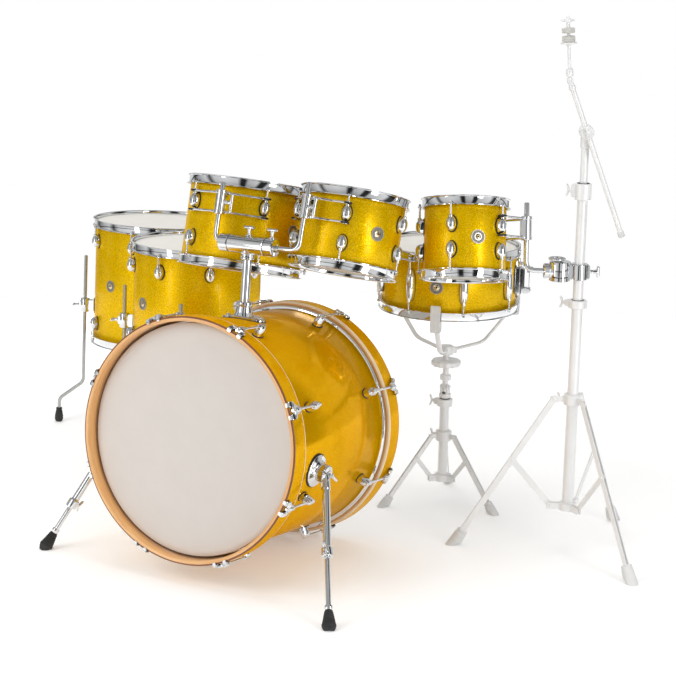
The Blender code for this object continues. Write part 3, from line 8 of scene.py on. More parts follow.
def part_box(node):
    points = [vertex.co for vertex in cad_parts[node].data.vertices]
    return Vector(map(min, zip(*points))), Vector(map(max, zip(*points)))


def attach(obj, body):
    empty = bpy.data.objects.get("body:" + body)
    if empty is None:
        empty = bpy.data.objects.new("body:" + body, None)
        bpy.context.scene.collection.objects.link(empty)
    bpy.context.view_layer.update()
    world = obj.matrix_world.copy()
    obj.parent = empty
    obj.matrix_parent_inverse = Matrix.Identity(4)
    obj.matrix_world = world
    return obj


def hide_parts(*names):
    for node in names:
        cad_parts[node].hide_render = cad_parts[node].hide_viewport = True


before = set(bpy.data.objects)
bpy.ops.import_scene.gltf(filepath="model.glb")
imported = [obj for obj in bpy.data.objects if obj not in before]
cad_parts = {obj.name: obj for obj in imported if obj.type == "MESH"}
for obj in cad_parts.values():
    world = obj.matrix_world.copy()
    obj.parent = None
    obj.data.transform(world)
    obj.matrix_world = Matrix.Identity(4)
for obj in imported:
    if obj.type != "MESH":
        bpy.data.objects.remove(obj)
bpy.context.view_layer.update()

INCH = 0.0254
SEAT = 0.0003
SAW_CUT = 0.0006
X_AXIS = Vector((1, 0, 0))
Y_AXIS = Vector((0, 1, 0))
Z_AXIS = Vector((0, 0, 1))

# Bass drum, in the drum's own frame: Z is its axis towards the front, Y is up
BASS_RADIUS = 11 * INCH
BASS_HALF = 9 * INCH
BASS_WALL = 0.008
BASS_PITCH = math.radians(5.5)
BASS_HOOP_INSIDE = BASS_RADIUS + 0.0071
BASS_HOOP_OUTSIDE = BASS_HOOP_INSIDE + 0.0125
BASS_HOOP_FRONT = BASS_HALF + 0.03
BASS_HOOP_BACK = BASS_HOOP_FRONT - 0.052
BASS_LUG_ROW = 0.1415
BASS_LUG_HEIGHT = 0.031
BASS_ROD_AT = BASS_HOOP_OUTSIDE + 0.0055
BASS_AZIMUTHS = [math.radians(22.5 + 45 * i) for i in range(8)]
PLATE_FORWARD = 0.036
HEAD_HEIGHT = 0.458
HEAD_REACH = 0.078
POST_INSIDE = 0.1
ARM_RADIUS = 0.00635
ARM_BEND = 0.013

# Spurs
SPUR_AZIMUTH = math.radians(-9.4)
SPUR_FORWARD = 0.116
SPUR_DISC_HEIGHT = 0.014
SPUR_HUB_HEIGHT = 0.024
SPUR_SPLAY = math.radians(60)
SPUR_SWINGS = {1: math.radians(36.6), -1: math.radians(22.3)}
SPUR_TUBE_LENGTH = 0.215
SPUR_COLLAR_LENGTH = 0.022
SPUR_ROD_OVERLAP = 0.11
SPUR_FOOT_LENGTH = 0.048

# Small drums
SHELL_WALL = 0.0065
FILM = 0.0011
HOOP_ABOVE = 0.012
ROD_STANDOFF = 0.0115
LUG_HEIGHT = 0.021
LUG_LENGTH = 0.039
LUG_WIDTH = 0.025
ROD_OVER_LUG = 0.0171
WIRE_GAP = 0.047
WIRE_LIFT = 0.0145
TOM12 = dict(radius=6 * INCH, half=4 * INCH, row=0.046, mount=-79.5, standoff=0.042, badge=-8.0)
TOM10 = dict(radius=5 * INCH, half=3.5 * INCH, row=0.036, mount=-103.5, standoff=0.042, badge=-29.4)
TOM8 = dict(radius=4 * INCH, half=3.5 * INCH, row=0.031, mount=25.5, standoff=0.05, badge=-46.0)
FLOOR16 = dict(radius=8 * INCH, half=7 * INCH, row=0.125, first=-127.0, place=(-0.862, 0.904), top=0.633,
               tilt=2.8, legs=(-149.5, 75.5, -14.5), bracket=0.095, badge=-104.5)
FLOOR14 = dict(radius=7 * INCH, half=6 * INCH, row=0.098, first=-91.0, place=(-0.511, 0.56), top=0.655,
               tilt=1.6, legs=(-158.5, -68.5, 66.5), bracket=0.078, badge=-113.5)
SNARE = dict(radius=7 * INCH, half=3 * INCH, first=-96.5, badge=-74.0, strainer=16.0)
SNARE_ROD_END = 0.0406
TOM_ARMS = {"tom12_arm": (-1, 0.0966, 13.9, 0.05), "tom10_arm": (1, 0.1416, 16.8, 0.073)}
ROD_OVER_TOM = 0.095
LEG_STANDOFF = 0.03
LEG_KICK = 0.072
LEG_LENGTH = 0.52

# Stands
SNARE_PLACE = (0.23, 0.65)
SNARE_RIM_BOTTOM = 0.542
BASKET_ARMS = (-73.0, 47.0, 167.0)
BASKET_HUB = 0.424
BASKET_KNOB = 0.39
BASKET_TILT = 0.323
SNARE_TUBE_TOP = 0.29
SNARE_TRIPOD = dict(turn=230.6, foot_radius=0.173, upper=(0.035, 0.187), lower=(0.032, 0.069), knee=0.072,
                    tube=0.0125, inner=0.01, strip=0.012, foot_length=0.036, foot=0.0135, top=0.29)
BOOM_PLACE = (0.675, 0.472)
BOOM_TRIPOD = dict(turn=207.0, foot_radius=0.287, upper=(0.046, 0.393), lower=(0.044, 0.113), knee=0.191,
                   tube=0.0143, inner=0.0127, strip=0.015, foot_length=0.046, foot=0.016, top=0.648)
MIDDLE_TUBE_TOP = 0.94
UPPER_TUBE_TOP = 1.045
UPPER_TUBE = 0.0095
BOOM_HEIGHT = 1.068
TOM8_ARM_HEIGHT = 0.72
TOM8_ARM_AZIMUTH = math.radians(209.8)
TOM8_REACH = 0.132
TOM8_LEAN = math.radians(15.4)
TOM8_RISE = 0.073
MULTI_CUP_OUT = 0.048
BOOM_LEAN = math.radians(21)
BOOM_AZIMUTH = math.radians(209.4)
BOOM_UP = 0.122
BOOM_DOWN = 0.265
BOOM_SIDE = 0.026
CYMBAL_ROD_LENGTH = 0.15
CYMBAL_ROD_LEAN = math.radians(4.5)


# Shapes: each is (points, faces)


def facing(origin, axis, towards=None):
    """A placement whose Z runs along an axis, and whose X leans towards a given way."""
    z = Vector(axis).normalized()
    if towards is None:
        return Matrix.Translation(origin) @ Z_AXIS.rotation_difference(z).to_matrix().to_4x4()
    towards = Vector(towards)
    x = (towards - z * towards.dot(z)).normalized()
    y = z.cross(x)
    return Matrix.Translation(origin) @ Matrix((x, y, z)).transposed().to_4x4()


def polar(radius, azimuth, height=0.0):
    return Vector((radius * math.cos(azimuth), radius * math.sin(azimuth), height))


def outward(azimuth, height=0.0, radius=0.0):
    """A placement on a drum: Z points out from its axis, Y runs up along it."""
    z = polar(1, azimuth)
    return facing(polar(radius, azimuth, height), z, Z_AXIS.cross(z))


def shift(x=0.0, y=0.0, z=0.0):
    return Matrix.Translation((x, y, z))


def spin(angle, axis="Z"):
    return Matrix.Rotation(angle, 4, axis)


def moved(shape, placement):
    points, faces = shape
    return [placement @ Vector(p) for p in points], faces


def mm(*values, out=0.0, up=0.0):
    """Pairs of millimetres as a profile of (radius, height) in metres, counted from a radius and a height."""
    return [(out + r / 1000, up + z / 1000) for r, z in zip(values[::2], values[1::2])]


def sided(profile, side):
    """The profile on one side of a drum: 1 leaves it as it is, and -1 turns it over."""
    return [(radius, side * height) for radius, height in profile]


def bands(rings, count, start=0):
    """The faces between neighbouring rings of points."""
    faces = []
    for ring in range(rings - 1):
        for k in range(count):
            a = start + ring * count + k
            b = start + ring * count + (k + 1) % count
            faces.append((a, b, b + count, a + count))
    return faces


def prism(outline, corner, reach, soft, angle=25):
    """A flat solid with softened edges. corner puts two numbers of the outline and a place across in order."""
    points = [Vector(corner(a, b, across)) for across in (-reach, reach) for a, b in outline]
    count = len(outline)
    faces = [tuple(range(count)), tuple(range(count, 2 * count))]
    faces += [(k, (k + 1) % count, count + (k + 1) % count, count + k) for k in range(count)]
    return softened((points, faces), soft, 2, angle)


def flattened(shape, place):
    """A shape of a piece at this place, pressed flat where it would go under the floor."""
    points, faces = shape
    back = place.inverted()
    flat = []
    for point in points:
        world = place @ point
        world.z = max(world.z, 0.0)
        flat.append(back @ world)
    return flat, faces


def filleted(corners, radius, steps=3, closed=False):
    """A polyline with its corners made arcs, each as large as its sides allow. Works in 2D and 3D."""
    corners = [Vector(c) for c in corners]
    count = len(corners)
    path = []
    for i, corner in enumerate(corners):
        if not closed and i in (0, count - 1):
            path.append(corner)
            continue
        to_back = corners[i - 1] - corner
        to_next = corners[(i + 1) % count] - corner
        back = to_back.normalized()
        on = to_next.normalized()
        spread = back.dot(on)
        if spread < -0.999 or spread > 0.999:
            path.append(corner)
            continue
        half = math.acos(spread) / 2
        reach = min(radius / math.tan(half), to_back.length * 0.48, to_next.length * 0.48)
        first = corner + back * reach
        last = corner + on * reach
        for step in range(steps + 1):
            t = step / steps
            path.append(first * (1 - t) ** 2 + corner * (2 * t * (1 - t)) + last * t ** 2)
    return path


def lathe(profile, sides=64, closed=False, swell=None):
    """A profile of (radius, height) turned round Z. swell(angle, index) is added to the radius."""
    points = []
    rings = []
    for index, (radius, height) in enumerate(profile):
        count = sides if radius > 1e-7 else 1
        rings.append(list(range(len(points), len(points) + count)))
        for i in range(count):
            angle = 2 * math.pi * i / sides
            extra = swell(angle, index) if swell and radius > 1e-7 else 0
            points.append(polar(radius + extra, angle, height))
    pairs = list(zip(rings, rings[1:]))
    if closed:
        pairs.append((rings[-1], rings[0]))
    faces = []
    for a, b in pairs:
        for i in range(sides):
            j = (i + 1) % sides
            corners = [a[i % len(a)], a[j % len(a)], b[j % len(b)], b[i % len(b)]]
            corners = list(dict.fromkeys(corners))
            if len(corners) > 2:
                faces.append(tuple(corners))
    return points, faces


def round_lathe(profile, radius, sides=48, closed=False, swell=None):
    return lathe(filleted(profile, radius, 3, closed), sides, closed, swell)


def bushing(inside, outside, low, high, chamfer=0.0015, drop=None, sides=48):
    """A tube whose outer edges are chamfered, by a width and a drop."""
    drop = chamfer if drop is None else drop
    narrow = outside - chamfer
    profile = [(inside, low), (narrow, low), (outside, low + drop), (outside, high - drop), (narrow, high),
               (inside, high)]
    return lathe(profile, sides, True)


def turned(profile, start, axis, radius=0.0012, sides=32):
    """A solid turned round any axis, with its edges softened. The profile starts and ends on the axis."""
    return moved(round_lathe(profile, radius, sides), facing(Vector(start), axis))


def rod(start, end, radius, sides=24, chamfer=0.0008):
    """A round bar with chamfered ends."""
    start = Vector(start)
    run = Vector(end) - start
    c = min(chamfer, radius * 0.5)
    profile = [(0, 0), (radius - c, 0), (radius, c), (radius, run.length - c), (radius - c, run.length),
               (0, run.length)]
    return moved(lathe(profile, sides), facing(start, run))


def swept(path, radius, sides=16, flat=1.0, turn=0.0, taper=None):
    """A bar along a path. flat squeezes it across, and taper gives its scale at each point."""
    path = [Vector(p) for p in path]
    count = len(path)
    runs = [(path[i + 1] - path[i]).normalized() for i in range(count - 1)]
    ways = [runs[0]] + [(runs[i] + runs[i + 1]).normalized() for i in range(count - 2)] + [runs[-1]]
    side = runs[0].orthogonal().normalized()
    for i in range(count - 2):
        normal = runs[i].cross(runs[i + 1])
        if normal.length > 1e-6:
            side = normal.normalized()
            break
    points = []
    for i, (point, way) in enumerate(zip(path, ways)):
        side = (side - way * side.dot(way)).normalized()
        up = way.cross(side)
        scale = radius * (taper[i] if taper else 1)
        for k in range(sides):
            angle = 2 * math.pi * k / sides + turn
            points.append(point + side * scale * math.cos(angle) + up * scale * flat * math.sin(angle))
    ends = [tuple(range(sides)), tuple(range(len(points) - sides, len(points)))]
    return points, ends + bands(count, sides)


def ribbon(path, widths, thickness, place):
    """A bent plate in the YZ plane of its placement, with its own width along X at each point."""
    path = [Vector((0, y, z)) for y, z in path]
    count = len(path)
    points = []
    for i, point in enumerate(path):
        before = path[max(i - 1, 0)]
        after = path[min(i + 1, count - 1)]
        way = (after - before).normalized()
        normal = X_AXIS.cross(way)
        for x, t in ((-0.5, 0.5), (0.5, 0.5), (0.5, -0.5), (-0.5, -0.5)):
            points.append(point + X_AXIS * x * widths[i] + normal * t * thickness)
    faces = [(0, 1, 2, 3), tuple(range(len(points) - 4, len(points)))] + bands(count, 4)
    return softened(moved((points, faces), place), thickness * 0.35, 2)


def softened(shape, width, segments=2, angle=25):
    """A shape with its sharp edges bevelled."""
    points, faces = shape
    mesh = bmesh.new()
    corners = [mesh.verts.new(p) for p in points]
    for face in faces:
        mesh.faces.new([corners[i] for i in face])
    bmesh.ops.recalc_face_normals(mesh, faces=mesh.faces)
    sharp = [e for e in mesh.edges if len(e.link_faces) == 2 and e.calc_face_angle(0) > math.radians(angle)]
    bmesh.ops.bevel(mesh, geom=sharp, offset=width, segments=segments, affect="EDGES", clamp_overlap=True)
    bmesh.ops.remove_doubles(mesh, verts=mesh.verts, dist=1e-6)
    mesh.verts.index_update()
    made = [v.co.copy() for v in mesh.verts], [tuple(v.index for v in f.verts) for f in mesh.faces]
    mesh.free()
    return made


def block(size, place=Matrix.Identity(4), soft=0.0015, taper=1.0, segments=2):
    """A box with rounded edges; its top is smaller by taper."""
    half = Vector(size) / 2
    points = []
    for z in (-1, 1):
        scale = taper if z > 0 else 1
        for x, y in ((-1, -1), (1, -1), (1, 1), (-1, 1)):
            points.append(Vector((x * half.x * scale, y * half.y * scale, z * half.z)))
    faces = [(0, 1, 2, 3), (4, 5, 6, 7), (0, 1, 5, 4), (1, 2, 6, 5), (2, 3, 7, 6), (3, 0, 4, 7)]
    return moved(softened((points, faces), soft, segments), place)


def oval(width, length, power, count):
    """The outline of an oval. A power under 2 points its ends."""
    outline = []
    for k in range(count):
        c = math.cos(2 * math.pi * k / count)
        s = math.sin(2 * math.pi * k / count)
        outline.append((math.copysign(abs(c) ** (2 / power), c) * width / 2,
                        math.copysign(abs(s) ** (2 / power), s) * length / 2))
    return outline


def dome(width, length, height, base=0.0, power=2.0, rise=0.45, count=32, rings=7):
    """A domed boss on an oval footprint."""
    levels = [(1.0, base), (1.0, base + height * rise * 0.6), (0.985, base + height * rise)]
    for i in range(1, rings):
        angle = math.pi / 2 * i / rings
        levels.append((0.985 * math.cos(angle) ** 0.8, base + height * (rise + (1 - rise) * math.sin(angle))))
    outline = oval(width, length, power, count)
    points = [Vector((x * scale, y * scale, z)) for scale, z in levels for x, y in outline]
    top = len(points)
    last = top - count
    faces = bands(len(levels), count)
    faces += [(last + k, last + (k + 1) % count, top) for k in range(count)]
    return points + [Vector((0, 0, base + height))], faces + [tuple(range(count))]


def plate(width, length, low, high, power=2.0, count=40, soft=0.0006):
    """A flat oval plate between two heights."""
    outline = oval(width, length, power, count)
    levels = ((1, low), (1, high - soft), (1 - 2 * soft / width, high))
    points = [Vector((x * scale, y * scale, z)) for scale, z in levels for x, y in outline]
    return points, [tuple(range(count)), tuple(range(2 * count, 3 * count))] + bands(3, count)


def cross_bar(half, wide, level, radius, sides, flat):
    """A bar across Z at a level. Its half lists a share of the width, a lift and a size, from the end inwards."""
    stops = [(-share, lift, size) for share, lift, size in half] + [stop for stop in reversed(half) if stop[0]]
    path = [(share * wide, 0, level + lift) for share, lift, size in stops]
    return swept(path, radius, sides, flat, 0, [size for share, lift, size in stops])


def wing_screw(base, way, span, reach=0.02, wide=0.03):
    """A thumb screw: a washer, a neck and a T-shaped bow along the span."""
    place = facing(Vector(base), Vector(way), span)
    neck = mm(0, 0, 6.5, 0, 6.5, 3.5, 4, 4.5) + mm(3.6, -2, 0, 0, up=reach)
    half = [(0.5, 0.0045, 0.55), (0.36, 0.0028, 1.0), (0.15, 0, 0.92), (0, -0.0015, 1.05)]
    bow = cross_bar(half, wide, reach + 0.001, 0.004, 14, 0.72)
    return [moved(round_lathe(neck, 0.0008, 20), place), moved(bow, place)]


def bar_knob(base, way, span, stem, length, wide=0.0085):
    """A thumb screw whose head is a bar along the span, across the end of a flared stem."""
    place = facing(Vector(base), Vector(way), span)
    post = mm(0, 0, 7, 0, 7, 1.8, 4.6, 3) + [(0.0042, stem * 0.55)] + mm(5.8, -0.5, 6.2, 2, 0, 2, up=stem)
    half = [(0.5, 0.0009, 0.5), (0.46, 0.0006, 0.86), (0.4, 0.0003, 1.0), (0.12, 0, 1.04)]
    head = cross_bar(half, length, stem + wide / 2, wide / 2, 16, 0.9)
    return [moved(round_lathe(post, 0.0006, 24), place), moved(head, place)]


def ring_of(radius, thick, sides=48):
    """A round ring, turned round Z."""
    turns = [2 * math.pi * k / 10 for k in range(10)]
    return lathe([(radius + thick * math.cos(turn), thick * math.sin(turn)) for turn in turns], sides, True)


def key_head(place, square=0.006, height=0.0085):
    """The square head of a tension rod over its washer."""
    washer = round_lathe(mm(0, 0, 5.5, 0, 5.5, 1.2, 0, 1.2), 0.0004, 20)
    flange = round_lathe(mm(0, 1.2, 4.6, 1.2, 4.2, 3, 0, 3), 0.0004, 20)
    tall = height - 0.003
    square_part = block((square, square, tall), shift(z=0.003 + tall / 2), 0.0007)
    return [moved(s, place) for s in (washer, flange, square_part)]


# Pieces


class Piece:
    """Collects shapes, each with its look, and becomes one object on a body."""

    def __init__(self, name, body, place, stands_for=(), slot=None):
        self.name = name
        self.body = body
        self.place = place
        self.stands_for = stands_for
        self.slot = slot
        self.points = []
        self.faces = []
        self.looks = []
        self.which = []

    def add(self, look, *shapes):
        if look not in self.looks:
            self.looks.append(look)
        index = self.looks.index(look)
        for points, faces in shapes:
            start = len(self.points)
            self.points += [tuple(p) for p in points]
            self.faces += [tuple(start + i for i in face) for face in faces]
            self.which += [index] * len(faces)
        return self

    def done(self, angle=38):
        data = bpy.data.meshes.new(self.name)
        data.from_pydata(self.points, [], self.faces)
        for look in self.looks:
            data.materials.append(look)
        data.polygons.foreach_set("material_index", self.which)
        mesh = bmesh.new()
        mesh.from_mesh(data)
        bmesh.ops.recalc_face_normals(mesh, faces=mesh.faces)
        mesh.to_mesh(data)
        mesh.free()
        data.shade_smooth()
        data.set_sharp_from_angle(angle=math.radians(angle))
        made = bpy.data.objects.new(self.name, data)
        bpy.context.scene.collection.objects.link(made)
        made.matrix_world = self.place
        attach(made, self.body)
        if self.stands_for:
            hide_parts(*self.stands_for)
        return made


# Looks


class Nodes:
    """A node tree, filled by short calls."""

    def __init__(self, tree):
        self.tree = tree

    def add(self, kind, **inputs):
        made = self.tree.nodes.new("ShaderNode" + kind)
        for name, value in inputs.items():
            self.put(made.inputs[name.replace("_", " ")], value)
        return made

    def put(self, socket, value):
        if isinstance(value, bpy.types.NodeSocket):
            self.tree.links.new(value, socket)
        else:
            socket.default_value = value

    def math(self, operation, *values, kind="Math"):
        made = self.add(kind)
        made.operation = operation
        for i, value in enumerate(values):
            self.put(made.inputs[i], value)
        return made.outputs[0]


class Look(Nodes):
    """A material and its shader."""

    def __init__(self, name):
        self.material = bpy.data.materials.new(name)
        self.material.use_nodes = True
        super().__init__(self.material.node_tree)
        self.shader = self.tree.nodes["Principled BSDF"]

    def set(self, **inputs):
        for name, value in inputs.items():
            self.put(self.shader.inputs[name.replace("_", " ")], value)
        return self

    def where(self, scale=(1, 1, 1)):
        """The object's own coordinates, in metres, stretched."""
        mapping = self.add("Mapping", Vector=self.add("TexCoord").outputs["Object"])
        mapping.inputs["Scale"].default_value = scale
        return mapping.outputs[0]

    def noise(self, scale, detail=3.0, vector=None, rough=0.5):
        made = self.add("TexNoise", Scale=scale, Detail=detail, Roughness=rough, Vector=vector or self.where())
        return made.outputs["Fac"]

    def spread(self, value, low, high, to_low=0.0, to_high=1.0):
        made = self.add("MapRange", Value=value, From_Min=low, From_Max=high, To_Min=to_low, To_Max=to_high)
        return made.outputs[0]

    def mix(self, factor, first, second):
        made = self.tree.nodes.new("ShaderNodeMix")
        made.data_type = "RGBA"
        self.put(made.inputs[0], factor)
        self.put(made.inputs[6], first)
        self.put(made.inputs[7], second)
        return made.outputs[2]

    def bump(self, height, strength, distance):
        made = self.add("Bump", Height=height, Strength=strength, Distance=distance)
        return made.outputs[0]


def colour(r, g, b):
    """A colour written in 0..255 as a linear one."""
    return tuple((c / 255 / 12.92) if c <= 10 else ((c / 255 + 0.055) / 1.055) ** 2.4 for c in (r, g, b)) + (1.0,)


def lacquer(name, deep, bright, flake, tilt, metallic, roughness, coat):
    """Clear lacquer over metal flakes: each flake has its own tone and leans its own way. A few flakes are painted
    bright yellow as painted glints.
    """
    look = Look(name)
    cells = look.add("TexVoronoi", Scale=1 / flake, Vector=look.where())
    tones = look.add("SeparateColor", Color=cells.outputs["Color"])
    tone = tones.outputs[0]
    cloud = look.noise(9.0, 2.0)
    share = look.math("ADD", look.math("MULTIPLY", tone, 0.8), look.math("MULTIPLY", cloud, 0.2))
    plain = look.mix(share, deep, bright)
    # A few flake cells painted bright yellow: painted glints
    painted_glints = look.spread(tones.outputs[1], 0.9, 0.93)
    lean = look.math("MULTIPLY_ADD", cells.outputs["Color"], (tilt,) * 3, (-tilt / 2,) * 3, kind="VectorMath")
    leaning = look.math("ADD", look.add("NewGeometry").outputs["Normal"], lean, kind="VectorMath")
    look.set(
        Base_Color=look.mix(painted_glints, plain, colour(255, 232, 40)),
        Metallic=metallic,
        Roughness=look.spread(tone, 0, 1, roughness - 0.05, roughness + 0.06),
        Normal=look.math("NORMALIZE", leaning, kind="VectorMath"),
        Specular_IOR_Level=0.0,
        Specular_Tint=(1.0, 0.74, 0.16, 1),
        Coat_Weight=coat,
        Coat_Roughness=0.03,
        Coat_IOR=1.42,
    )
    return look.material


def chrome_look(name="chrome", tint=(0.77, 0.78, 0.79, 1), low=0.035, high=0.09):
    look = Look(name)
    smear = look.noise(28.0, 5.0, rough=0.62)
    fine = look.noise(420.0, 2.0)
    share = look.spread(smear, 0.35, 0.7)
    darker = tuple(c * 0.93 for c in tint[:3]) + (1,)
    look.set(
        Base_Color=look.mix(share, tint, darker),
        Metallic=1.0,
        Roughness=look.spread(smear, 0.3, 0.75, low, high),
        Normal=look.bump(fine, 0.02, 0.0002),
    )
    return look.material


def film_look(name, low, high):
    """A coated plastic head: a matt sprayed texture with a faint mottle."""
    look = Look(name)
    grain = look.noise(1400.0, 2.0)
    mottle = look.noise(16.0, 4.0, rough=0.6)
    look.set(
        Base_Color=look.mix(look.spread(mottle, 0.3, 0.7), low, high),
        Roughness=look.spread(grain, 0.3, 0.7, 0.42, 0.6),
        Normal=look.bump(grain, 0.1, 0.0003),
        Specular_IOR_Level=0.35,
    )
    return look.material


def wood_look(name, dark, light, coat=0.6):
    """Maple bent round the drum's axis: the grain runs along the hoop, and plies lie side by side."""
    look = Look(name)
    parts = look.add("SeparateXYZ", Vector=look.where())
    x, y, z = parts.outputs
    angle = look.math("ARCTAN2", y, x)
    radius = look.math("SQRT", look.math("ADD", look.math("MULTIPLY", x, x), look.math("MULTIPLY", y, y)))
    stretched = [look.math("MULTIPLY", value, scale) for value, scale in ((angle, 2.2), (radius, 120.0), (z, 120.0))]
    along = look.add("CombineXYZ", X=stretched[0], Y=stretched[1], Z=stretched[2])
    grain = look.noise(1.6, 5.0, along.outputs[0], 0.65)
    plies = look.math("SINE", look.math("MULTIPLY", radius, 2600.0))
    share = look.math("ADD", look.spread(grain, 0.3, 0.72), look.math("MULTIPLY", plies, 0.07))
    look.set(
        Base_Color=look.mix(share, dark, light),
        Roughness=look.spread(grain, 0.3, 0.7, 0.3, 0.42),
        Normal=look.bump(grain, 0.06, 0.0004),
        Coat_Weight=coat,
        Coat_Roughness=0.08,
    )
    return look.material


def rubber_look(name, base=0.018, rough=0.55):
    look = Look(name)
    grain = look.noise(900.0, 3.0)
    dust = look.noise(40.0, 4.0)
    pale = min(base * 2.2, base + 0.08)
    light = (pale, pale, pale * 0.97, 1)
    look.set(
        Base_Color=look.mix(look.spread(dust, 0.4, 0.75), (base, base, base, 1), light),
        Roughness=look.spread(grain, 0.3, 0.7, rough, rough + 0.2),
        Normal=look.bump(grain, 0.25, 0.0002),
    )
    return look.material


def stand_look(name, tone, metallic, rough):
    """Satin metal, drawn along its length."""
    look = Look(name)
    drawn = look.noise(60.0, 3.0, look.where((12, 12, 0.6)))
    cloud = look.noise(14.0, 3.0)
    low = tuple(c * 0.94 for c in tone[:3]) + (1,)
    look.set(
        Base_Color=look.mix(look.spread(cloud, 0.35, 0.7), tone, low),
        Metallic=metallic,
        Roughness=look.spread(drawn, 0.3, 0.7, rough - 0.05, rough + 0.1),
        Normal=look.bump(drawn, 0.05, 0.0002),
    )
    return look.material


def felt_look():
    look = Look("grey_felt")
    fibre = look.noise(700.0, 6.0, rough=0.75)
    look.set(
        Base_Color=look.mix(look.spread(fibre, 0.3, 0.7), colour(186, 184, 178), colour(226, 224, 218)),
        Roughness=0.95,
        Normal=look.bump(fibre, 0.6, 0.0006),
        Sheen_Weight=0.4,
    )
    return look.material


GOLD = lacquer("gold_sparkle_lacquer", colour(216, 160, 0), colour(250, 208, 0), 0.0011, 0.19, 0.4, 0.28, 0.2)
AMBER = lacquer("amber_lacquer", colour(222, 152, 0), colour(246, 184, 0), 0.0008, 0.03, 0.42, 0.13, 0.12)
CHROME = chrome_look()
BADGE = stand_look("badge_band", (0.25, 0.23, 0.2, 1), 0.6, 0.42)
GILT = chrome_look("gilt_badge", (0.72, 0.6, 0.36, 1), 0.15, 0.25)
FILM_WHITE = film_look("coated_head", colour(224, 221, 213), colour(231, 228, 221))
FILM_FRONT = film_look("front_head", colour(222, 215, 208), colour(225, 218, 211))
MAPLE = wood_look("natural_maple_edge", colour(226, 162, 92), colour(248, 196, 132))
BROWN = wood_look("dark_ply_edge", colour(108, 54, 22), colour(142, 78, 38))
CREAM = wood_look("pale_rear_edge_band", colour(238, 212, 170), colour(252, 236, 206))
INSIDE = wood_look("maple_inside", colour(176, 134, 84), colour(214, 178, 128), 0.2)
RUBBER = rubber_look("black_rubber")
GASKET = rubber_look("black_gasket", 0.012, 0.45)
STAND = stand_look("pale_satin_stand", (0.93, 0.93, 0.925, 1), 0.18, 0.36)
STEEL = stand_look("grey_steel_leg", (0.5, 0.5, 0.49, 1), 0.85, 0.28)
FELT = felt_look()
STAND_RUBBER = rubber_look("pale_grey_rubber", 0.74, 0.6)


# Frames

front_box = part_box("bass_front_hoop")
back_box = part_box("bass_batter_hoop")
bass_middle = (front_box[0] + front_box[1] + back_box[0] + back_box[1]) / 4
BASS_CENTRE_HEIGHT = BASS_HOOP_OUTSIDE * math.cos(BASS_PITCH) + BASS_HOOP_FRONT * math.sin(BASS_PITCH)
KIT = shift(bass_middle.x, bass_middle.y, 0)
BASS = KIT @ shift(z=BASS_CENTRE_HEIGHT) @ spin(math.pi / 2 - BASS_PITCH, "X")


# Parts of every drum


def add_oval_lugs(metal, drum, azimuth):
    """A pair of domed lugs on gaskets, each with the sleeve that takes its tension rod."""
    for side in (-1, 1):
        place = outward(azimuth, side * drum["row"], drum["radius"])
        metal.add(CHROME, moved(dome(LUG_WIDTH, LUG_LENGTH, LUG_HEIGHT - 0.0018, 0.0018, 1.92, 0.3, 36), place))
        end = LUG_LENGTH * 500
        sleeve = mm(0, 0, 5.2, 0, 5.2, end + 0.5, 4, end + 2.2, 0, end + 2.2)
        way = (place.to_3x3() @ Y_AXIS) * side
        metal.add(CHROME, turned(sleeve, place @ Vector((0, 0, ROD_STANDOFF)), way, 0.0006, 20))
        metal.add(GASKET, moved(plate(LUG_WIDTH + 0.0036, LUG_LENGTH + 0.005, -0.0035, 0.0018, 1.95), place))


def add_long_lug(metal, drum, azimuth):
    """A snare drum's lug, from one rod to the other."""
    base = outward(azimuth, 0, drum["radius"])
    metal.add(GASKET, moved(plate(0.0236, 0.087, -0.003, 0.0018, 2.6), base))
    metal.add(CHROME, moved(dome(0.0228, 0.086, 0.0158, 0.0018, 2.6, 0.3, 44, 9), base))
    for side in (-1, 1):
        sleeve = mm(0, 0, 4.8, 0, 4.8, 42.5, 3.8, 44.5, 0, 44.5)
        metal.add(CHROME, turned(sleeve, base @ Vector((0, 0, ROD_STANDOFF)), Z_AXIS * side, 0.0006, 20))


def shell_of(radius, half, wall, sides=144):
    """A shell with its bearing edges cut, as two shapes: the outside and the inside."""
    cut = 0.0012
    rim = radius - cut
    outside = [(rim, -half), (radius, -half + cut), (radius, half - cut), (rim, half)]
    inside = [(rim, half), (radius - wall, half - wall), (radius - wall, -half + wall), (rim, -half)]
    return lathe(outside, sides), lathe(inside, sides)


def add_badge(piece, radius, azimuth):
    """A round vented badge, left blank: a rim, a dark band between two fine rings, a gilt middle, and a black dimple
    at its centre painted as the shade inside the vent hole.
    """
    place = outward(azimuth, 0, radius)
    rim = mm(17.6, -3, 17.6, 1, 17, 1.7, 16, 1.7, 15.7, 0.8)
    band = mm(15.8, 0.8, 11.8, 1, 11.6, 1.3, 11.2, 1.3, 11, 1, 8.8, 1)
    ring = mm(8.9, 0.9, 8.7, 1.6, 8, 1.6, 7.8, 1.1)
    middle = mm(7.9, 1, 6, 1.5, 4, 1.9, 3.6, 2.2, 2.6, 2.2, 2.2, 1)
    # The vent is a shallow black dimple: painted shade standing in for the hole
    painted_vent_shade = mm(2.3, 1.2, 0, 0.4)
    for look, profile in ((STEEL, rim), (BADGE, band), (CHROME, ring), (GILT, middle), (GASKET, painted_vent_shade)):
        piece.add(look, moved(lathe(profile, 48), place))


def dressed_shell(name, body, place, drum, lugs, add_lug, sides=160):
    """A small drum's lacquered shell, and the metal piece on it with its lugs and its badge."""
    node = (name + "_shell",)
    outside, inside = shell_of(drum["radius"], drum["half"], SHELL_WALL, sides)
    Piece(name + "_lacquered_shell", body, place, node, "shell").add(GOLD, outside).add(INSIDE, inside).done(50)
    metal = Piece(name + "_lugs", body, place, node, "chrome")
    for azimuth in lugs:
        add_lug(metal, drum, azimuth)
    add_badge(metal, drum["radius"], math.radians(drum["badge"]))
    return metal


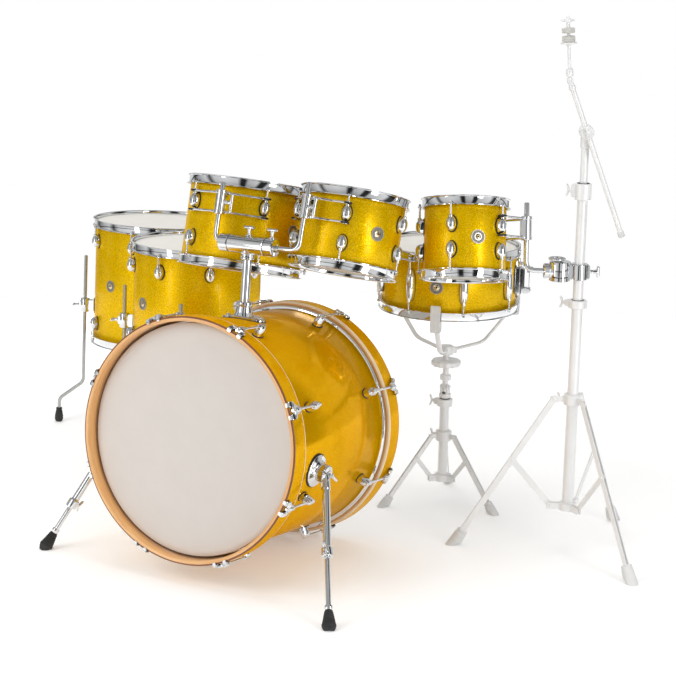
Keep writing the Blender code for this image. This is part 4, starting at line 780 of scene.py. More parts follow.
def hoop_shape(radius, half, side, lugs, sides=160):
    """A triple-flanged steel hoop. Its lower flange widens into an ear at each tension rod."""
    profile = mm(3.6, -9.2, 3.6, 9.2, 4.2, 10.8, 5.6, 11.9, 8.6, 12, 9.9, 11.4, 10, 10.2, 9, 9.5, 6.6, 9.4,
                 5.7, 8.4, 5.7, -7.8, 6.6, -9.2, 9.2, -9.7, 10.2, -10.2, 10.2, -11.6, 9.4, -12, 6.2, -11.9, 4.4, -11)
    ear = {12: 0.7, 13: 1.0, 14: 1.0, 15: 0.9}
    profile = [(radius + r, side * (half + z)) for r, z in profile]

    def swell(angle, index):
        if index not in ear:
            return 0
        near = min(abs((angle - a + math.pi) % (2 * math.pi) - math.pi) for a in lugs) * radius
        return ear[index] * 0.0063 * max(0.0, 1 - (near / 0.013) ** 2) ** 0.7

    return lathe(profile, sides, True, swell)


def head_shape(radius, half, side, sides=144):
    """The head: a flat film, its collar over the bearing edge, and its flesh ring."""
    edge = half + SEAT
    profile = [(0, edge + FILM), (radius - 0.008, edge + FILM), (radius - 0.001, edge + FILM - 0.0001)]
    profile += mm(1.2, -0.4, 2, -3, 3.2, -4, 3.2, -9.5, 0.6, -10, 0.4, -1, -1, 0, out=radius, up=edge)
    return lathe(sided(profile + [(0, edge)], side), sides)


def rod_shapes(radius, half, side, lugs, end):
    """Tension rods with their square heads over the hoop's ears."""
    shapes = []
    for azimuth in lugs:
        low = polar(radius + ROD_STANDOFF, azimuth, side * end)
        high = polar(radius + ROD_STANDOFF, azimuth, side * (half - 0.009))
        shapes.append(rod(low, high, 0.0025, 12, 0.0004))
        at = polar(radius + ROD_STANDOFF, azimuth, side * (half - 0.01))
        shapes += key_head(facing(at, Z_AXIS * side, polar(1, azimuth)))
    return shapes


def rims_of(name, body, place, drum, lugs, end):
    """Both heads, hoops and sets of rods of a small drum. The rods start at the height end."""
    radius = drum["radius"]
    half = drum["half"]
    for side, label in ((1, "batter"), (-1, "resonant")):
        stands_for = (f"{name}_{label}_rim",)
        hoop = Piece(f"{name}_{label}_hoop", body, place, stands_for, "rim")
        hoop.add(CHROME, hoop_shape(radius, half, side, lugs))
        hoop.add(CHROME, *rod_shapes(radius, half, side, lugs, end)).done()
        head = Piece(f"{name}_{label}_head", body, place, stands_for, "head")
        head.add(FILM_WHITE, head_shape(radius, half, side)).done(50)


# Rack toms


def mount_wire(radius, rod_out, mount, end, height):
    """A wire of the suspension mount, from the clamp's block round the shell to a lug's end."""
    inside = rod_out - 0.0112
    near = radius + WIRE_LIFT
    start = math.copysign(0.0085 / rod_out, end)
    arc = []
    for i in range(25):
        share = i / 24
        t = min(1.0, share / 0.62)
        ease = t * t * (3 - 2 * t)
        out = inside + (near - inside) * ease
        arc.append(polar(out, mount + start + (end - start) * share, height))
    return swept(arc, 0.003, 12)


def mount_shapes(drum):
    """The suspension mount: wires that end in rubber rings on the lugs, and the clamp on the arm's rod."""
    radius = drum["radius"]
    row = drum["row"]
    mount = math.radians(drum["mount"])
    rod_out = radius + drum["standoff"]
    chrome = []
    dark = []
    for end in (-math.pi / 5, math.pi / 5):
        at = polar(radius + ROD_STANDOFF, mount + end, row)
        for level in (-1, 1):
            chrome.append(mount_wire(radius, rod_out, mount, end, row + level * WIRE_GAP / 2))
            ring_at = at + Z_AXIS * level * (WIRE_GAP / 2 + 0.0004)
            grommet = bushing(0.003, 0.0111, -0.0022, 0.0022, 0.0013, 0.0012, 28)
            dark.append(moved(grommet, Matrix.Translation(ring_at)))
            washer = mm(0, 0, 8, 0, 8, 1.2, 0, 1.2)
            chrome.append(turned(washer, at + Z_AXIS * level * (WIRE_GAP / 2 + 0.0027), Z_AXIS * level, 0.0003, 24))
    place = outward(mount, row, rod_out)
    chrome.append(block((0.027, 0.052, 0.016), place @ shift(z=-0.008), 0.0025, 0.94, 3))
    rod_at = polar(rod_out, mount, row)
    inside = ARM_RADIUS * 1000 + 0.4
    barrel = mm(inside, -30, 12, -30, 13.5, -28.5, 13.5, -21.5, 12.6, -20.5,
                12.6, 20.5, 13.5, 21.5, 13.5, 28.5, 12, 30, inside, 30)
    chrome.append(moved(lathe(barrel, 40, True), Matrix.Translation(rod_at)))
    side = polar(1, mount + math.pi / 2)
    chrome += bar_knob(rod_at + side * 0.0105, side, Z_AXIS, 0.014, 0.05, 0.0092)
    for sign in (-1, 1):
        for level in (-1, 1):
            nut_at = polar(rod_out - 0.0105, mount, row + level * WIRE_GAP / 2) + side * sign * 0.0132
            chrome.append(turned(mm(0, 0, 5, 0, 5, 4.5, 0, 4.5), nut_at, side * sign, 0.0006, 6))
    return chrome, dark


def rack_tom(name, drum, pivot):
    """A rack tom on its arm's rod, which is the pivot's Z axis."""
    radius = drum["radius"]
    mount = math.radians(drum["mount"])
    place = pivot @ Matrix.Translation(-polar(radius + drum["standoff"], mount))
    lugs = [mount + 2 * math.pi / 5 * (i - 0.5) for i in range(5)]
    dressed_shell(name, name, place, drum, lugs, add_oval_lugs, 144).done()
    chrome, dark = mount_shapes(drum)
    Piece(name + "_mount", name, place, (name + "_shell",), "chrome").add(CHROME, *chrome).add(RUBBER, *dark).done()
    rims_of(name, name, place, drum, lugs, drum["row"] + ROD_OVER_LUG)


# Bass drum


def claw(azimuth, side, piece):
    """A claw: two prongs over the hoop's edge on pads, a yoke, a narrow back, and the key rod between them."""
    place = outward(azimuth) @ Matrix.Diagonal((1, side, 1, 1))
    out = BASS_HOOP_OUTSIDE
    front = BASS_HOOP_FRONT
    step = front - 0.0125
    for x in (-0.015, 0.015):
        at = place @ shift(x, 0, 0)
        prong = mm(1.8, -5.8, 2.1, -1, 1.4, 3.2, -3, 5.2, out=front, up=out) + [(step - 0.003, out + 0.0062)]
        piece.add(CHROME, ribbon(prong, [0.0085, 0.0105, 0.0118, 0.012, 0.012], 0.0034, at))
        pad = mm(0.1, -5, 0.1, 0.4, out=front, up=out) + [(step, out + 0.001)]
        piece.add(RUBBER, ribbon(pad, [0.0095, 0.0128, 0.0134], 0.0012, at))
    piece.add(CHROME, block((0.041, 0.0095, 0.008), place @ shift(0, step - 0.001, out + 0.0052), 0.0025, 0.92, 3))
    back = [(step, out + 0.0062)] + mm(-22, 6.4, -34, 5.6, out=front, up=out)
    piece.add(CHROME, ribbon(back, [0.03, 0.0215, 0.018], 0.0066, place))
    boss = mm(0, 0, 6.8, 0, 7.6, 4, 7.6, 14, 6.2, 20, 0, 20)
    piece.add(CHROME, turned(boss, polar(BASS_ROD_AT, azimuth, side * (front - 0.036)), Z_AXIS * side, 0.001, 24))
    low = polar(BASS_ROD_AT, azimuth, side * (BASS_LUG_ROW + 0.015))
    piece.add(CHROME, rod(low, polar(BASS_ROD_AT, azimuth, side * (front - 0.02)), 0.0031, 14))
    head = facing(polar(BASS_ROD_AT, azimuth, side * (front - 0.016)), Z_AXIS * side, polar(1, azimuth))
    piece.add(CHROME, *key_head(head, 0.0062, 0.011))


def bass_hoop(side, label):
    """A maple hoop: lacquered outside, bare in front and inside, with dark front edges and a pale rear one."""
    low = BASS_HOOP_INSIDE
    high = BASS_HOOP_OUTSIDE
    front = BASS_HOOP_FRONT
    back = BASS_HOOP_BACK
    wood = [(high - 0.005, back)] + mm(1.5, 0, 0, 1.5, out=low, up=back)
    wood += mm(0, -2, 0.6, -0.6, 1.6, 0, out=low, up=front) + [(high - 0.0044, front)]
    runs = [
        # The rear rounded edge of the hoop is coloured pale cream
        (CREAM, mm(0, 4.4, -0.4, 1.2, -1.6, 0, -5, 0, out=high, up=back)),
        (MAPLE, wood),
        (BROWN, mm(-4.4, 0, -2.2, -0.4, -0.9, -1.2, -0.3, -2.6, out=high, up=front)),
        (AMBER, mm(-0.3, -2.6, 0, -3.6, out=high, up=front) + [(high, back + 0.0044)]),
    ]
    piece = Piece(f"bass_{label}_wood_hoop", "kit", BASS, (f"bass_{label}_hoop",), "hoop")
    for look, profile in runs:
        piece.add(look, lathe(sided(profile, side), 192))
    piece.done(50)
    metal = Piece(f"bass_{label}_claws", "kit", BASS, (f"bass_{label}_hoop",), "chrome")
    for azimuth in BASS_AZIMUTHS:
        claw(azimuth, side, metal)
    metal.done()


def bass_head(side, label, film):
    radius = BASS_RADIUS + SEAT
    edge = BASS_HALF + SEAT
    top = BASS_HOOP_BACK - SEAT
    low = top - 0.0115
    skin = [(0, edge + 0.0012)] + mm(-12, 1.2, -2, 1, 0.8, -1.2, 1.2, -4, out=radius, up=edge)
    skin += [(radius + 0.0012, top), (radius, top), (radius, edge), (0, edge)]
    ring = mm(0.1, 0, 8, 0, 9.2, 1.2, 9.2, 10.3, 8, 11.5, 0.1, 11.5, out=radius, up=low)
    piece = Piece(f"bass_{label}_film", "kit", BASS, (f"bass_{label}_head",), "head")
    piece.add(film, lathe(sided(skin, side), 192))
    piece.add(CHROME, lathe(sided(ring, side), 192, True)).done(50)


def bass_shell():
    """The shell with its lugs, spur discs and tom holder's base."""
    outside, inside = shell_of(BASS_RADIUS, BASS_HALF, BASS_WALL, 192)
    node = ("bass_shell",)
    Piece("bass_lacquered_shell", "kit", BASS, node, "shell").add(AMBER, outside).add(INSIDE, inside).done(50)
    metal = Piece("bass_lugs", "kit", BASS, node, "chrome")
    for azimuth in BASS_AZIMUTHS:
        for side in (-1, 1):
            place = outward(azimuth, side * BASS_LUG_ROW, BASS_RADIUS)
            metal.add(GASKET, moved(plate(0.026, 0.038, -0.004, 0.0018, 1.9), place))
            metal.add(CHROME, moved(dome(0.023, 0.034, BASS_LUG_HEIGHT - 0.0018, 0.0018, 1.8, 0.45), place))
            at = place @ Vector((0, 0, BASS_ROD_AT - BASS_RADIUS))
            sleeve = mm(0, -12, 5.8, -12, 6.2, 12, 4.8, 16.5, 0, 16.5)
            metal.add(CHROME, turned(sleeve, at, Z_AXIS * side, 0.001, 24))
    for azimuth in (SPUR_AZIMUTH, math.pi - SPUR_AZIMUTH):
        place = outward(azimuth, SPUR_FORWARD, BASS_RADIUS)
        metal.add(GASKET, moved(plate(0.084, 0.084, -0.006, 0.0022), place))
        disc = mm(0, 2, 40, 2, 40, 4.2, 37, 6.2, 29, 9, 25.5, 11, 24, 13)
        disc += mm(23.5, 0, 0, 0, up=SPUR_DISC_HEIGHT)
        metal.add(CHROME, moved(round_lathe(disc, 0.0015, 48), place))
    place = outward(math.pi / 2, PLATE_FORWARD, BASS_RADIUS)
    metal.add(GASKET, bent_plate(0.122, 0.068, -0.002, 0.0016))
    metal.add(CHROME, bent_plate(0.117, 0.063, 0.0016, 0.006))
    collar = mm(11.8, 0, 26.2, 0, 25.6, 5, 21.5, 14, 19.8, 24, 19, 28, 20, 30, 20, 38, 18.5, 40, 11.8, 40)
    metal.add(CHROME, moved(round_lathe(collar, 0.0015, 40, True), place))
    ears = block((0.026, 0.02, 0.02), place @ shift(0.014, 0, 0.026), 0.003)
    metal.add(CHROME, ears)
    for x in (-0.044, 0.044):
        height = math.sqrt(BASS_RADIUS ** 2 - x ** 2) - BASS_RADIUS + 0.0055
        screw = mm(0, 0, 5.8, 0, 5.2, 2.2, 3, 3.2, 0, 3.4)
        metal.add(CHROME, moved(round_lathe(screw, 0.0006, 20), place @ shift(x, 0, height)))
    screw_at = place @ Vector((0.026, 0, 0.026))
    metal.add(CHROME, *wing_screw(screw_at, X_AXIS, Y_AXIS, 0.014, 0.034))
    metal.done()


def bent_plate(length, width, low, high):
    """An oval plate that follows the shell's curve under the tom holder."""
    place = outward(math.pi / 2, PLATE_FORWARD, BASS_RADIUS)
    rings = 8
    count = 48
    points = []
    for level in (low, high):
        for ring in range(rings + 1):
            share = ring / rings
            for k in range(count):
                angle = 2 * math.pi * k / count
                x = length / 2 * share * math.cos(angle)
                y = width / 2 * share * math.sin(angle)
                drop = math.sqrt(BASS_RADIUS ** 2 - x ** 2) - BASS_RADIUS
                edge = 0.0012 if ring == rings and level == high else 0
                points.append(Vector((x, y, drop + level - edge)))
    half = (rings + 1) * count
    faces = bands(rings + 1, count) + bands(rings + 1, count, half)
    for k in range(count):
        a = rings * count + k
        b = rings * count + (k + 1) % count
        faces.append((a, b, b + half, a + half))
    return moved((points, faces), place)


def tom_post():
    """The post and its clamp: a barrel across its top with a cap at each end, and two T screws."""
    place = BASS @ shift(0, HEAD_HEIGHT, PLATE_FORWARD) @ spin(-math.pi / 2, "X")
    piece = Piece("tom_holder_post", "tom_post", place, ("tom_post",), "chrome")
    drop = BASS_RADIUS - POST_INSIDE - HEAD_HEIGHT
    piece.add(CHROME, rod((0, 0, drop), (0, 0, 0), 0.011, 48))
    collar = mm(0, -36, 16, -36, 17.5, -34.5, 17.5, -30, 16.6, -29, 16.6, -21.5, 17.8, -19, 17.8, -10, 0, -10)
    piece.add(CHROME, turned(collar, (0, 0, 0), Z_AXIS, 0.0008, 48))
    half = mm(14, 0, 22.4, 0, 22.4, 48.4, 21.2, 49.4, 21.2, 52.4, 22.2, 53.4, 22.2, 75.2,
              20.6, 77.2, 17, 78, 11, 78, 10, 77) + mm(0.4, 77, 0.4, 20, out=ARM_RADIUS)
    barrel = [(r, -x) for r, x in reversed(half[1:])] + half[1:]
    turn = facing((0, 0, 0), X_AXIS)
    piece.add(CHROME, moved(lathe(barrel, 60, True), turn))
    for side in (-1, 1):
        band = [(0.0208, side * 0.0498), (0.0216, side * 0.0502), (0.0216, side * 0.0516), (0.0208, side * 0.052)]
        piece.add(GASKET, moved(lathe(band, 60, True), turn))
    for x in (0.0, 0.066):
        piece.add(CHROME, turned(mm(0, 0, 10, 0, 8.6, 4, 0, 4), (x, 0, 0.0208), Z_AXIS, 0.0008, 32))
        piece.add(CHROME, *bar_knob((x, 0, 0.018), Z_AXIS, X_AXIS, 0.02, 0.03))
    piece.done()


def tom_arms():
    head = BASS @ Vector((0, HEAD_HEIGHT, PLATE_FORWARD))
    rods = {}
    for name, (side, reach, tilt, rise) in TOM_ARMS.items():
        place = Matrix.Translation(head) @ spin(-math.radians(tilt), "X")
        start = (side * (HEAD_REACH - 0.056), 0, 0)
        path = filleted([start, (side * reach, 0, 0), (side * reach, 0, rise + ROD_OVER_TOM)], ARM_BEND * 1.9, 10)
        piece = Piece(name + "_rod", name, place, (name,), "chrome")
        path.insert(1, path[0].lerp(path[1], 0.04))
        path.insert(-1, path[-1].lerp(path[-2], 0.015))
        piece.add(CHROME, swept(path, ARM_RADIUS, 28, 1, 0, [0.8] + [1.0] * (len(path) - 2) + [0.8])).done()
        rods[name] = place @ shift(side * reach, 0, rise)
    return rods


def spur(side):
    label = "right" if side > 0 else "left"
    azimuth = SPUR_AZIMUTH if side > 0 else math.pi - SPUR_AZIMUTH
    turn = BASS.to_3x3()
    axis = (turn @ polar(1, azimuth)).normalized()
    origin = BASS @ polar(BASS_RADIUS + SPUR_DISC_HEIGHT + SEAT, azimuth, SPUR_FORWARD)
    down = turn @ Vector((0, -1, 0))
    down = (down - axis * down.dot(axis)).normalized()
    way = down * math.cos(SPUR_SWINGS[side]) + turn @ Z_AXIS * math.sin(SPUR_SWINGS[side])
    leg = (axis * math.cos(SPUR_SPLAY) + way * math.sin(SPUR_SPLAY)).normalized()
    place = facing(origin, axis, leg)
    local = (place.to_3x3().inverted() @ leg).normalized()
    root = Vector((0, 0, SPUR_HUB_HEIGHT * 0.55))
    across = local.cross(Z_AXIS).normalized()
    step = SPUR_TUBE_LENGTH - SPUR_COLLAR_LENGTH
    tube = Piece(f"spur_{label}_tube", f"spur_leg_{label}", place, (f"spur_leg_{label}",), "chrome")

    def knurl(angle, index):
        return 0.0007 * math.cos(24 * angle) if index in (3, 4, 5, 6) else 0

    hub = mm(0, 0, 22.8, 0, 23, 1.6, 22.2, 3, 22.2, 5, 22.2, 15, 22.2, 17, 20.5, 19.5, 12, 21.5)
    hub += mm(11, 0, 0, 0, up=SPUR_HUB_HEIGHT)
    tube.add(CHROME, lathe(hub, 96, swell=knurl))
    shaft = mm(0, 0, 11, 0, 11, 40, 9.5, 44) + mm(9.5, -4, 10.5, 0, 14, 1, up=step)
    shaft += mm(14, -1, 12.5, 0, 7, 0, 7, -20, up=SPUR_TUBE_LENGTH)
    tube.add(CHROME, turned(shaft, root, local, 0.0008, 36))
    end = root + local * (SPUR_TUBE_LENGTH - 0.011)
    tube.add(CHROME, *wing_screw(end + across * 0.012, across, local, 0.014))
    tube.add(CHROME, *wing_screw((0, 0, SPUR_HUB_HEIGHT - 0.002), Z_AXIS, across, 0.012, 0.036)).done()
    world_root = place @ root
    reach = world_root.z / -leg.z
    start = root + local * (SPUR_TUBE_LENGTH - SPUR_ROD_OVERLAP)
    foot_high = reach - SPUR_FOOT_LENGTH
    foot_start = foot_high - (SPUR_TUBE_LENGTH - SPUR_ROD_OVERLAP)
    thin = Piece(f"spur_{label}_rod", f"spur_rod_{label}", place, (f"spur_rod_{label}",), "spur_rod")
    profile = mm(0, 0, 5.8, 0, 6.5, 1) + mm(6.5, -4, 6.5, 12, 0, 12, up=foot_start)
    thin.add(CHROME, moved(lathe(profile, 32), facing(start, local)))
    collar = mm(0, -12, 9.8, -12, 9.8, -6, 8.2, -1, 0, -1, up=foot_start)
    thin.add(CHROME, turned(collar, start, local, 0.0008, 32))
    thin.add(RUBBER, flattened(spur_foot(root + local * foot_high, local), place)).done(50)


def spur_foot(start, way):
    """A ribbed rubber bulb."""
    profile = mm(0, 0, 8.8, 0, 9.8, 1.6)
    ribs = 6
    for i in range(ribs):
        z = 0.004 + i * 0.0048
        r = 0.01 + 0.0056 * i / ribs
        profile += mm(0, 0, 1.1, 1.4, 1.1, 3.2, 0.3, 4.4, out=r, up=z)
    profile += mm(16.8, 33.5, 17.2, 36, 16.8, 39, 15.2, 44) + [(0.0132, SPUR_FOOT_LENGTH)] + mm(11.2, 52, 0, 52.4)
    return moved(lathe(profile, 40), facing(start, way))


# Floor toms


def floor_tom(name, drum):
    radius = drum["radius"]
    half = drum["half"]
    tilt = math.radians(drum["tilt"])
    turn = spin(-tilt, "X")
    middle = Vector((*drum["place"], drum["top"])) - turn.to_3x3() @ Vector((0, 0, half + HOOP_ABOVE))
    local = Matrix.Translation(middle) @ turn
    place = KIT @ local
    lugs = [math.radians(drum["first"] + 45 * i) for i in range(8)]
    metal = dressed_shell(name, "kit", place, drum, lugs, add_oval_lugs)
    level = -half + drum["bracket"]
    for number, degrees in enumerate(drum["legs"], 1):
        azimuth = math.radians(degrees)
        base = outward(azimuth, level, radius)
        metal.add(GASKET, moved(plate(0.034, 0.05, -0.004, 0.002, 2.6), base))
        metal.add(CHROME, block((0.026, 0.038, 0.02), base @ shift(z=0.0115), 0.003, 0.85))
        sleeve = bushing(0.0056, 0.014, -0.021, 0.021, 0.0015, 0.002, 36)
        metal.add(CHROME, moved(sleeve, Matrix.Translation(polar(radius + LEG_STANDOFF, azimuth, level))))
        metal.add(CHROME, block((0.015, 0.022, 0.01), outward(azimuth, level, radius + 0.043), 0.0015))
        way = polar(1, azimuth)
        metal.add(CHROME, *wing_screw(polar(radius + 0.047, azimuth, level), way, Z_AXIS.cross(way), 0.014))
        floor_leg(name, number, place, local, radius, azimuth, tilt)
    metal.done()
    rims_of(name, "kit", place, drum, lugs, drum["row"] + ROD_OVER_LUG)


def floor_leg(name, number, place, local, radius, azimuth, tilt):
    """A leg with its kick outwards. Its origin is on its axis, level with the foot's end."""
    out = radius + LEG_STANDOFF
    foot = polar(out + LEG_KICK, azimuth)
    lift = 0.013 * math.sin(tilt)
    height = (lift - local[2][0] * foot.x - local[2][1] * foot.y - local[2][3]) / local[2][2]
    here = place @ facing(polar(out, azimuth, height), Z_AXIS, polar(1, azimuth))
    corners = [(LEG_KICK, 0, 0.01), (LEG_KICK, 0, 0.072), (0, 0, 0.128), (0, 0, LEG_LENGTH)]
    path = filleted(corners, 0.026, 8)
    path.insert(-1, path[-1].lerp(path[-2], 0.004))
    taper = [1.0] * (len(path) - 1) + [0.75]
    piece = Piece(f"{name}_leg_rod_{number}", f"{name}_leg_{number}", here, (f"{name}_leg_{number}",), "chrome")
    piece.add(STEEL, swept(path, 0.005, 20, 1, 0, taper))
    profile = mm(0, 0, 8.2, 0, 10.4, 1.8, 12.4, 7, 13.2, 12, 12.4, 13.5, 12.4, 15, 12.8, 17, 9.8, 34,
                 8.8, 35.5, 8.8, 38, 9.4, 40, 9, 43.5, 0, 44)
    piece.add(RUBBER, moved(lathe(profile, 32), shift(LEG_KICK, 0, 0))).done(50)


# Snare drum


def snare_drum(tilter):
    radius = SNARE["radius"]
    half = SNARE["half"]
    place = tilter @ shift(z=SNARE_RIM_BOTTOM + HOOP_ABOVE + half - BASKET_TILT)
    body = "snare_tilter"
    lugs = [math.radians(SNARE["first"] + 45 * i) for i in range(8)]
    dressed_shell("snare", body, place, SNARE, lugs, add_long_lug).done()
    strainer_at = math.radians(SNARE["strainer"])
    piece = Piece("snare_strainer", body, place, ("snare_shell",), "chrome")
    piece.add(GASKET, moved(plate(0.037, 0.077, -0.004, 0.0016, 3.4), outward(strainer_at, 0, radius)))
    piece.add(CHROME, block((0.034, 0.072, 0.014), outward(strainer_at, 0, radius + 0.0085), 0.0025, 0.94, 3))
    piece.add(CHROME, block((0.024, 0.058, 0.01), outward(strainer_at, 0.004, radius + 0.0185), 0.002, 0.92))
    knob_at = polar(radius + 0.014, strainer_at, 0.036)
    knob = mm(0, 0, 5, 0, 8.5, 1.5, 8.5, 10, 7, 12, 0, 12)
    knob = round_lathe(knob, 0.0008, 48, swell=lambda a, i: 0.0004 * math.cos(18 * a))
    piece.add(CHROME, moved(knob, Matrix.Translation(knob_at)))
    pin = polar(radius + 0.034, strainer_at, -0.027)
    across = polar(1, strainer_at + math.pi / 2)
    piece.add(CHROME, rod(pin - across * 0.0125, pin + across * 0.0125, 0.0029, 16))
    for sign in (-1, 1):
        cheek = facing(pin - polar(0.004, strainer_at) + across * sign * 0.011, across, Z_AXIS)
        piece.add(CHROME, moved(plate(0.014, 0.022, -0.002, 0.002, 3.0), cheek))
    slide = outward(strainer_at, -0.034, radius + 0.01)
    piece.add(CHROME, block((0.026, 0.012, 0.01), slide, 0.0015))
    butt = outward(strainer_at + math.pi, 0, radius)
    piece.add(GASKET, moved(plate(0.037, 0.043, -0.004, 0.0016, 3.4), butt))
    piece.add(CHROME, block((0.034, 0.038, 0.011), butt @ shift(z=0.0065), 0.002, 0.9, 3))
    for x in (-0.009, 0.009):
        piece.add(CHROME, *key_head(butt @ shift(x, 0, 0.0115), 0.005, 0.006))
    piece.done()
    snare_wires(place, body, half, strainer_at)
    lever_place = place @ facing(pin, Z_AXIS, polar(1, strainer_at))
    lever = Piece("snare_lever", "strainer_lever", lever_place, ("snare_strainer_lever",), "chrome")
    half_drop = [(0.34, 0.03), (0.36, 0.2), (0.41, 0.4), (0.47, 0.6), (0.5, 0.74),
                 (0.49, 0.83), (0.42, 0.91), (0.28, 0.97), (0.1, 1.0)]
    drop = [(y * 0.0156, z * 0.066) for y, z in half_drop]
    outline = drop + [(-y, z) for y, z in reversed(drop)]
    lever.add(CHROME, prism(outline, lambda y, z, x: (x, y, z), 0.0028, 0.0014, 35))
    lever.add(CHROME, moved(bushing(0.0033, 0.0064, -0.0082, 0.0082, 0.0004, 0.0006, 28), facing((0, 0, 0), Y_AXIS)))
    lever.add(CHROME, block((0.014, 0.0096, 0.0056), shift(0.0062, 0, 0.061), 0.0018)).done()
    rims_of("snare", body, place, SNARE, lugs, SNARE_ROD_END)


def snare_wires(place, body, half, azimuth):
    """The wires under the lower head, on their end plates."""
    low = -(half + SEAT + FILM)
    piece = Piece("snare_wires", body, place, ("snare_resonant_rim",), "chrome")
    turn = spin(azimuth)
    for i in range(16):
        y = -0.021 + 0.042 * i / 15
        path = []
        for k in range(41):
            phase = k * 2.4 + i
            z = low - 0.0011 + 0.0003 * math.cos(phase)
            path.append(turn @ Vector((-0.112 + 0.224 * k / 40, y + 0.0004 * math.sin(phase), z)))
        piece.add(CHROME, swept(path, 0.0005, 5))
    for side in (-1, 1):
        at = turn @ shift(side * 0.118, 0, low - 0.0011)
        piece.add(CHROME, block((0.013, 0.046, 0.0018), at, 0.0005))
    piece.done()


# Stands


def clamp_at(height, radius, tall, way, place=Matrix.Identity(4)):
    """A clamp round a tube: a collar, its ears and its wing screw."""
    shapes = [moved(bushing(radius - 0.0005, radius + 0.009, height - tall, height), place)]
    way = Vector(way).normalized()
    side = Z_AXIS.cross(way)
    middle = height - tall / 2
    ears = facing(way * (radius + 0.01) + Z_AXIS * middle, way, side)
    shapes.append(block((0.016, tall * 0.8, 0.016), place @ ears, 0.002))
    screw = wing_screw(way * (radius + 0.0165) + Z_AXIS * middle, way, Z_AXIS, 0.01, 0.03)
    return shapes + [moved(shape, place) for shape in screw]


def tripod(name, stand, place):
    upper = Vector((stand["upper"][0], 0, stand["upper"][1]))
    lower = Vector((stand["lower"][0], 0, stand["lower"][1]))
    tube = stand["tube"]
    strip = stand["strip"]
    leg_way = (Vector((stand["foot_radius"], 0, 0)) - upper).normalized()
    knee = upper + leg_way * stand["knee"]
    gap = 0.0035 / 2 + 0.0007
    turns = [math.radians(stand["turn"] + 120 * i) for i in range(3)]
    top = stand["top"]
    base = Piece(name + "_tube", "kit", place, (name + "_base_tube",), "stand")
    base.add(STAND, bushing(stand["inner"] + 0.0005, tube, lower.z - 0.01, top - 0.004, SAW_CUT))
    base.add(STAND, bushing(tube - 0.0008, tube + 0.0082, lower.z - 0.01, lower.z + 0.01, 0.0017, 0.0015))
    base.add(STAND, *clamp_at(top, tube, 0.02, -X_AXIS))
    base.add(GASKET, bushing(stand["inner"] + 0.0004, tube + 0.0012, top - 0.0015, top + 0.0008, SAW_CUT))
    for angle in turns:
        turn = spin(angle)
        length = lower.x - tube + 0.0085
        for side in (-1, 1):
            y = side * (gap + 0.0007 + 0.0015)
            at = turn @ shift(tube + length / 2, y, lower.z)
            base.add(STAND, block((length, 0.003, 0.017), at, 0.0008))
        head = turn @ facing(lower + Vector((0, gap + 0.0037, 0)), Y_AXIS)
        base.add(STAND, moved(dome(0.008, 0.008, 0.0018, 0, 2.0, 0.3, 16, 3), head))
    base.done()
    at = place @ shift(z=upper.z)
    collar = Piece(name + "_sliding_collar", name + "_collar", at, (name + "_leg_collar",), "stand")
    collar.add(STAND, bushing(tube + 0.0006, tube + 0.0088, -0.014, 0.014, 0.0018, 0.002))
    collar.add(STAND, *wing_screw(Vector((-(tube + 0.008), 0, 0)), -X_AXIS, Z_AXIS, 0.014, 0.028))
    for angle in turns:
        turn = spin(angle)
        length = upper.x - tube + strip / 2
        collar.add(STAND, block((length, 0.0034, strip), turn @ shift(tube + 0.003 + length / 2, 0, 0), 0.0008))
    collar.done()
    for number, angle in enumerate(turns, 1):
        turn = spin(angle)
        tripod_leg(name, number, stand, place @ turn @ Matrix.Translation(upper), upper, leg_way, gap)
        run = lower - knee
        body = f"{name}_brace_{number}"
        knee_at = place @ turn @ Matrix.Translation(knee)
        brace = Piece(f"{name}_brace_strip_{number}", body, knee_at, (body,), "stand")
        brace.add(STAND, bar_with_round_end(run.length, strip, 0.0034, run.normalized())).done()


def bar_with_round_end(length, width, thickness, way):
    """A flat strip that starts with a round end at its pivot."""
    half = width / 2
    outline = [(-half * math.sin(a), half * math.cos(a)) for a in [math.pi * k / 12 for k in range(13)]]
    outline += [(length, -half), (length, half)]
    shape = prism(outline, lambda x, y, z: (x, y, z), thickness / 2, thickness * 0.2, 50)
    turn = Matrix((way, way.cross(Y_AXIS) * -1, Y_AXIS)).transposed().to_4x4()
    return moved(shape, turn)


def tripod_leg(name, number, stand, place, upper, way, gap):
    floor_run = upper.z / -way.z
    strip = stand["strip"]
    leg = Piece(f"{name}_leg_strips_{number}", f"{name}_leg_{number}", place, (f"{name}_leg_{number}",), "stand")
    end = floor_run - stand["foot_length"] * 0.6
    for sign in (-1, 1):
        shape = bar_with_round_end(end, strip, 0.0025, way)
        leg.add(STAND, moved(shape, shift(y=sign * (gap + 0.00125))))
    reach = gap + 0.0025
    for distance in (0, stand["knee"]):
        at = way * distance
        leg.add(STAND, rod(at - Y_AXIS * reach, at + Y_AXIS * reach, 0.0024, 16))
        for sign in (-1, 1):
            head = facing(at + Y_AXIS * sign * reach, Y_AXIS * sign)
            leg.add(STAND, moved(dome(0.009, 0.009, 0.002, 0, 2.0, 0.3, 16, 3), head))
    start = floor_run - stand["foot_length"]
    r = stand["foot"]
    long = stand["foot_length"] + r
    foot = [(0, 0), (r * 0.78, 0), (r * 0.86, 0.002), (r * 0.86, 0.005), (r * 0.8, 0.007), (r * 0.92, 0.011),
            (r, long * 0.5), (r, long - 0.004), (r * 0.8, long), (0, long)]
    leg.add(STAND_RUBBER, flattened(turned(foot, way * start, way, 0.001, 32), place)).done(50)


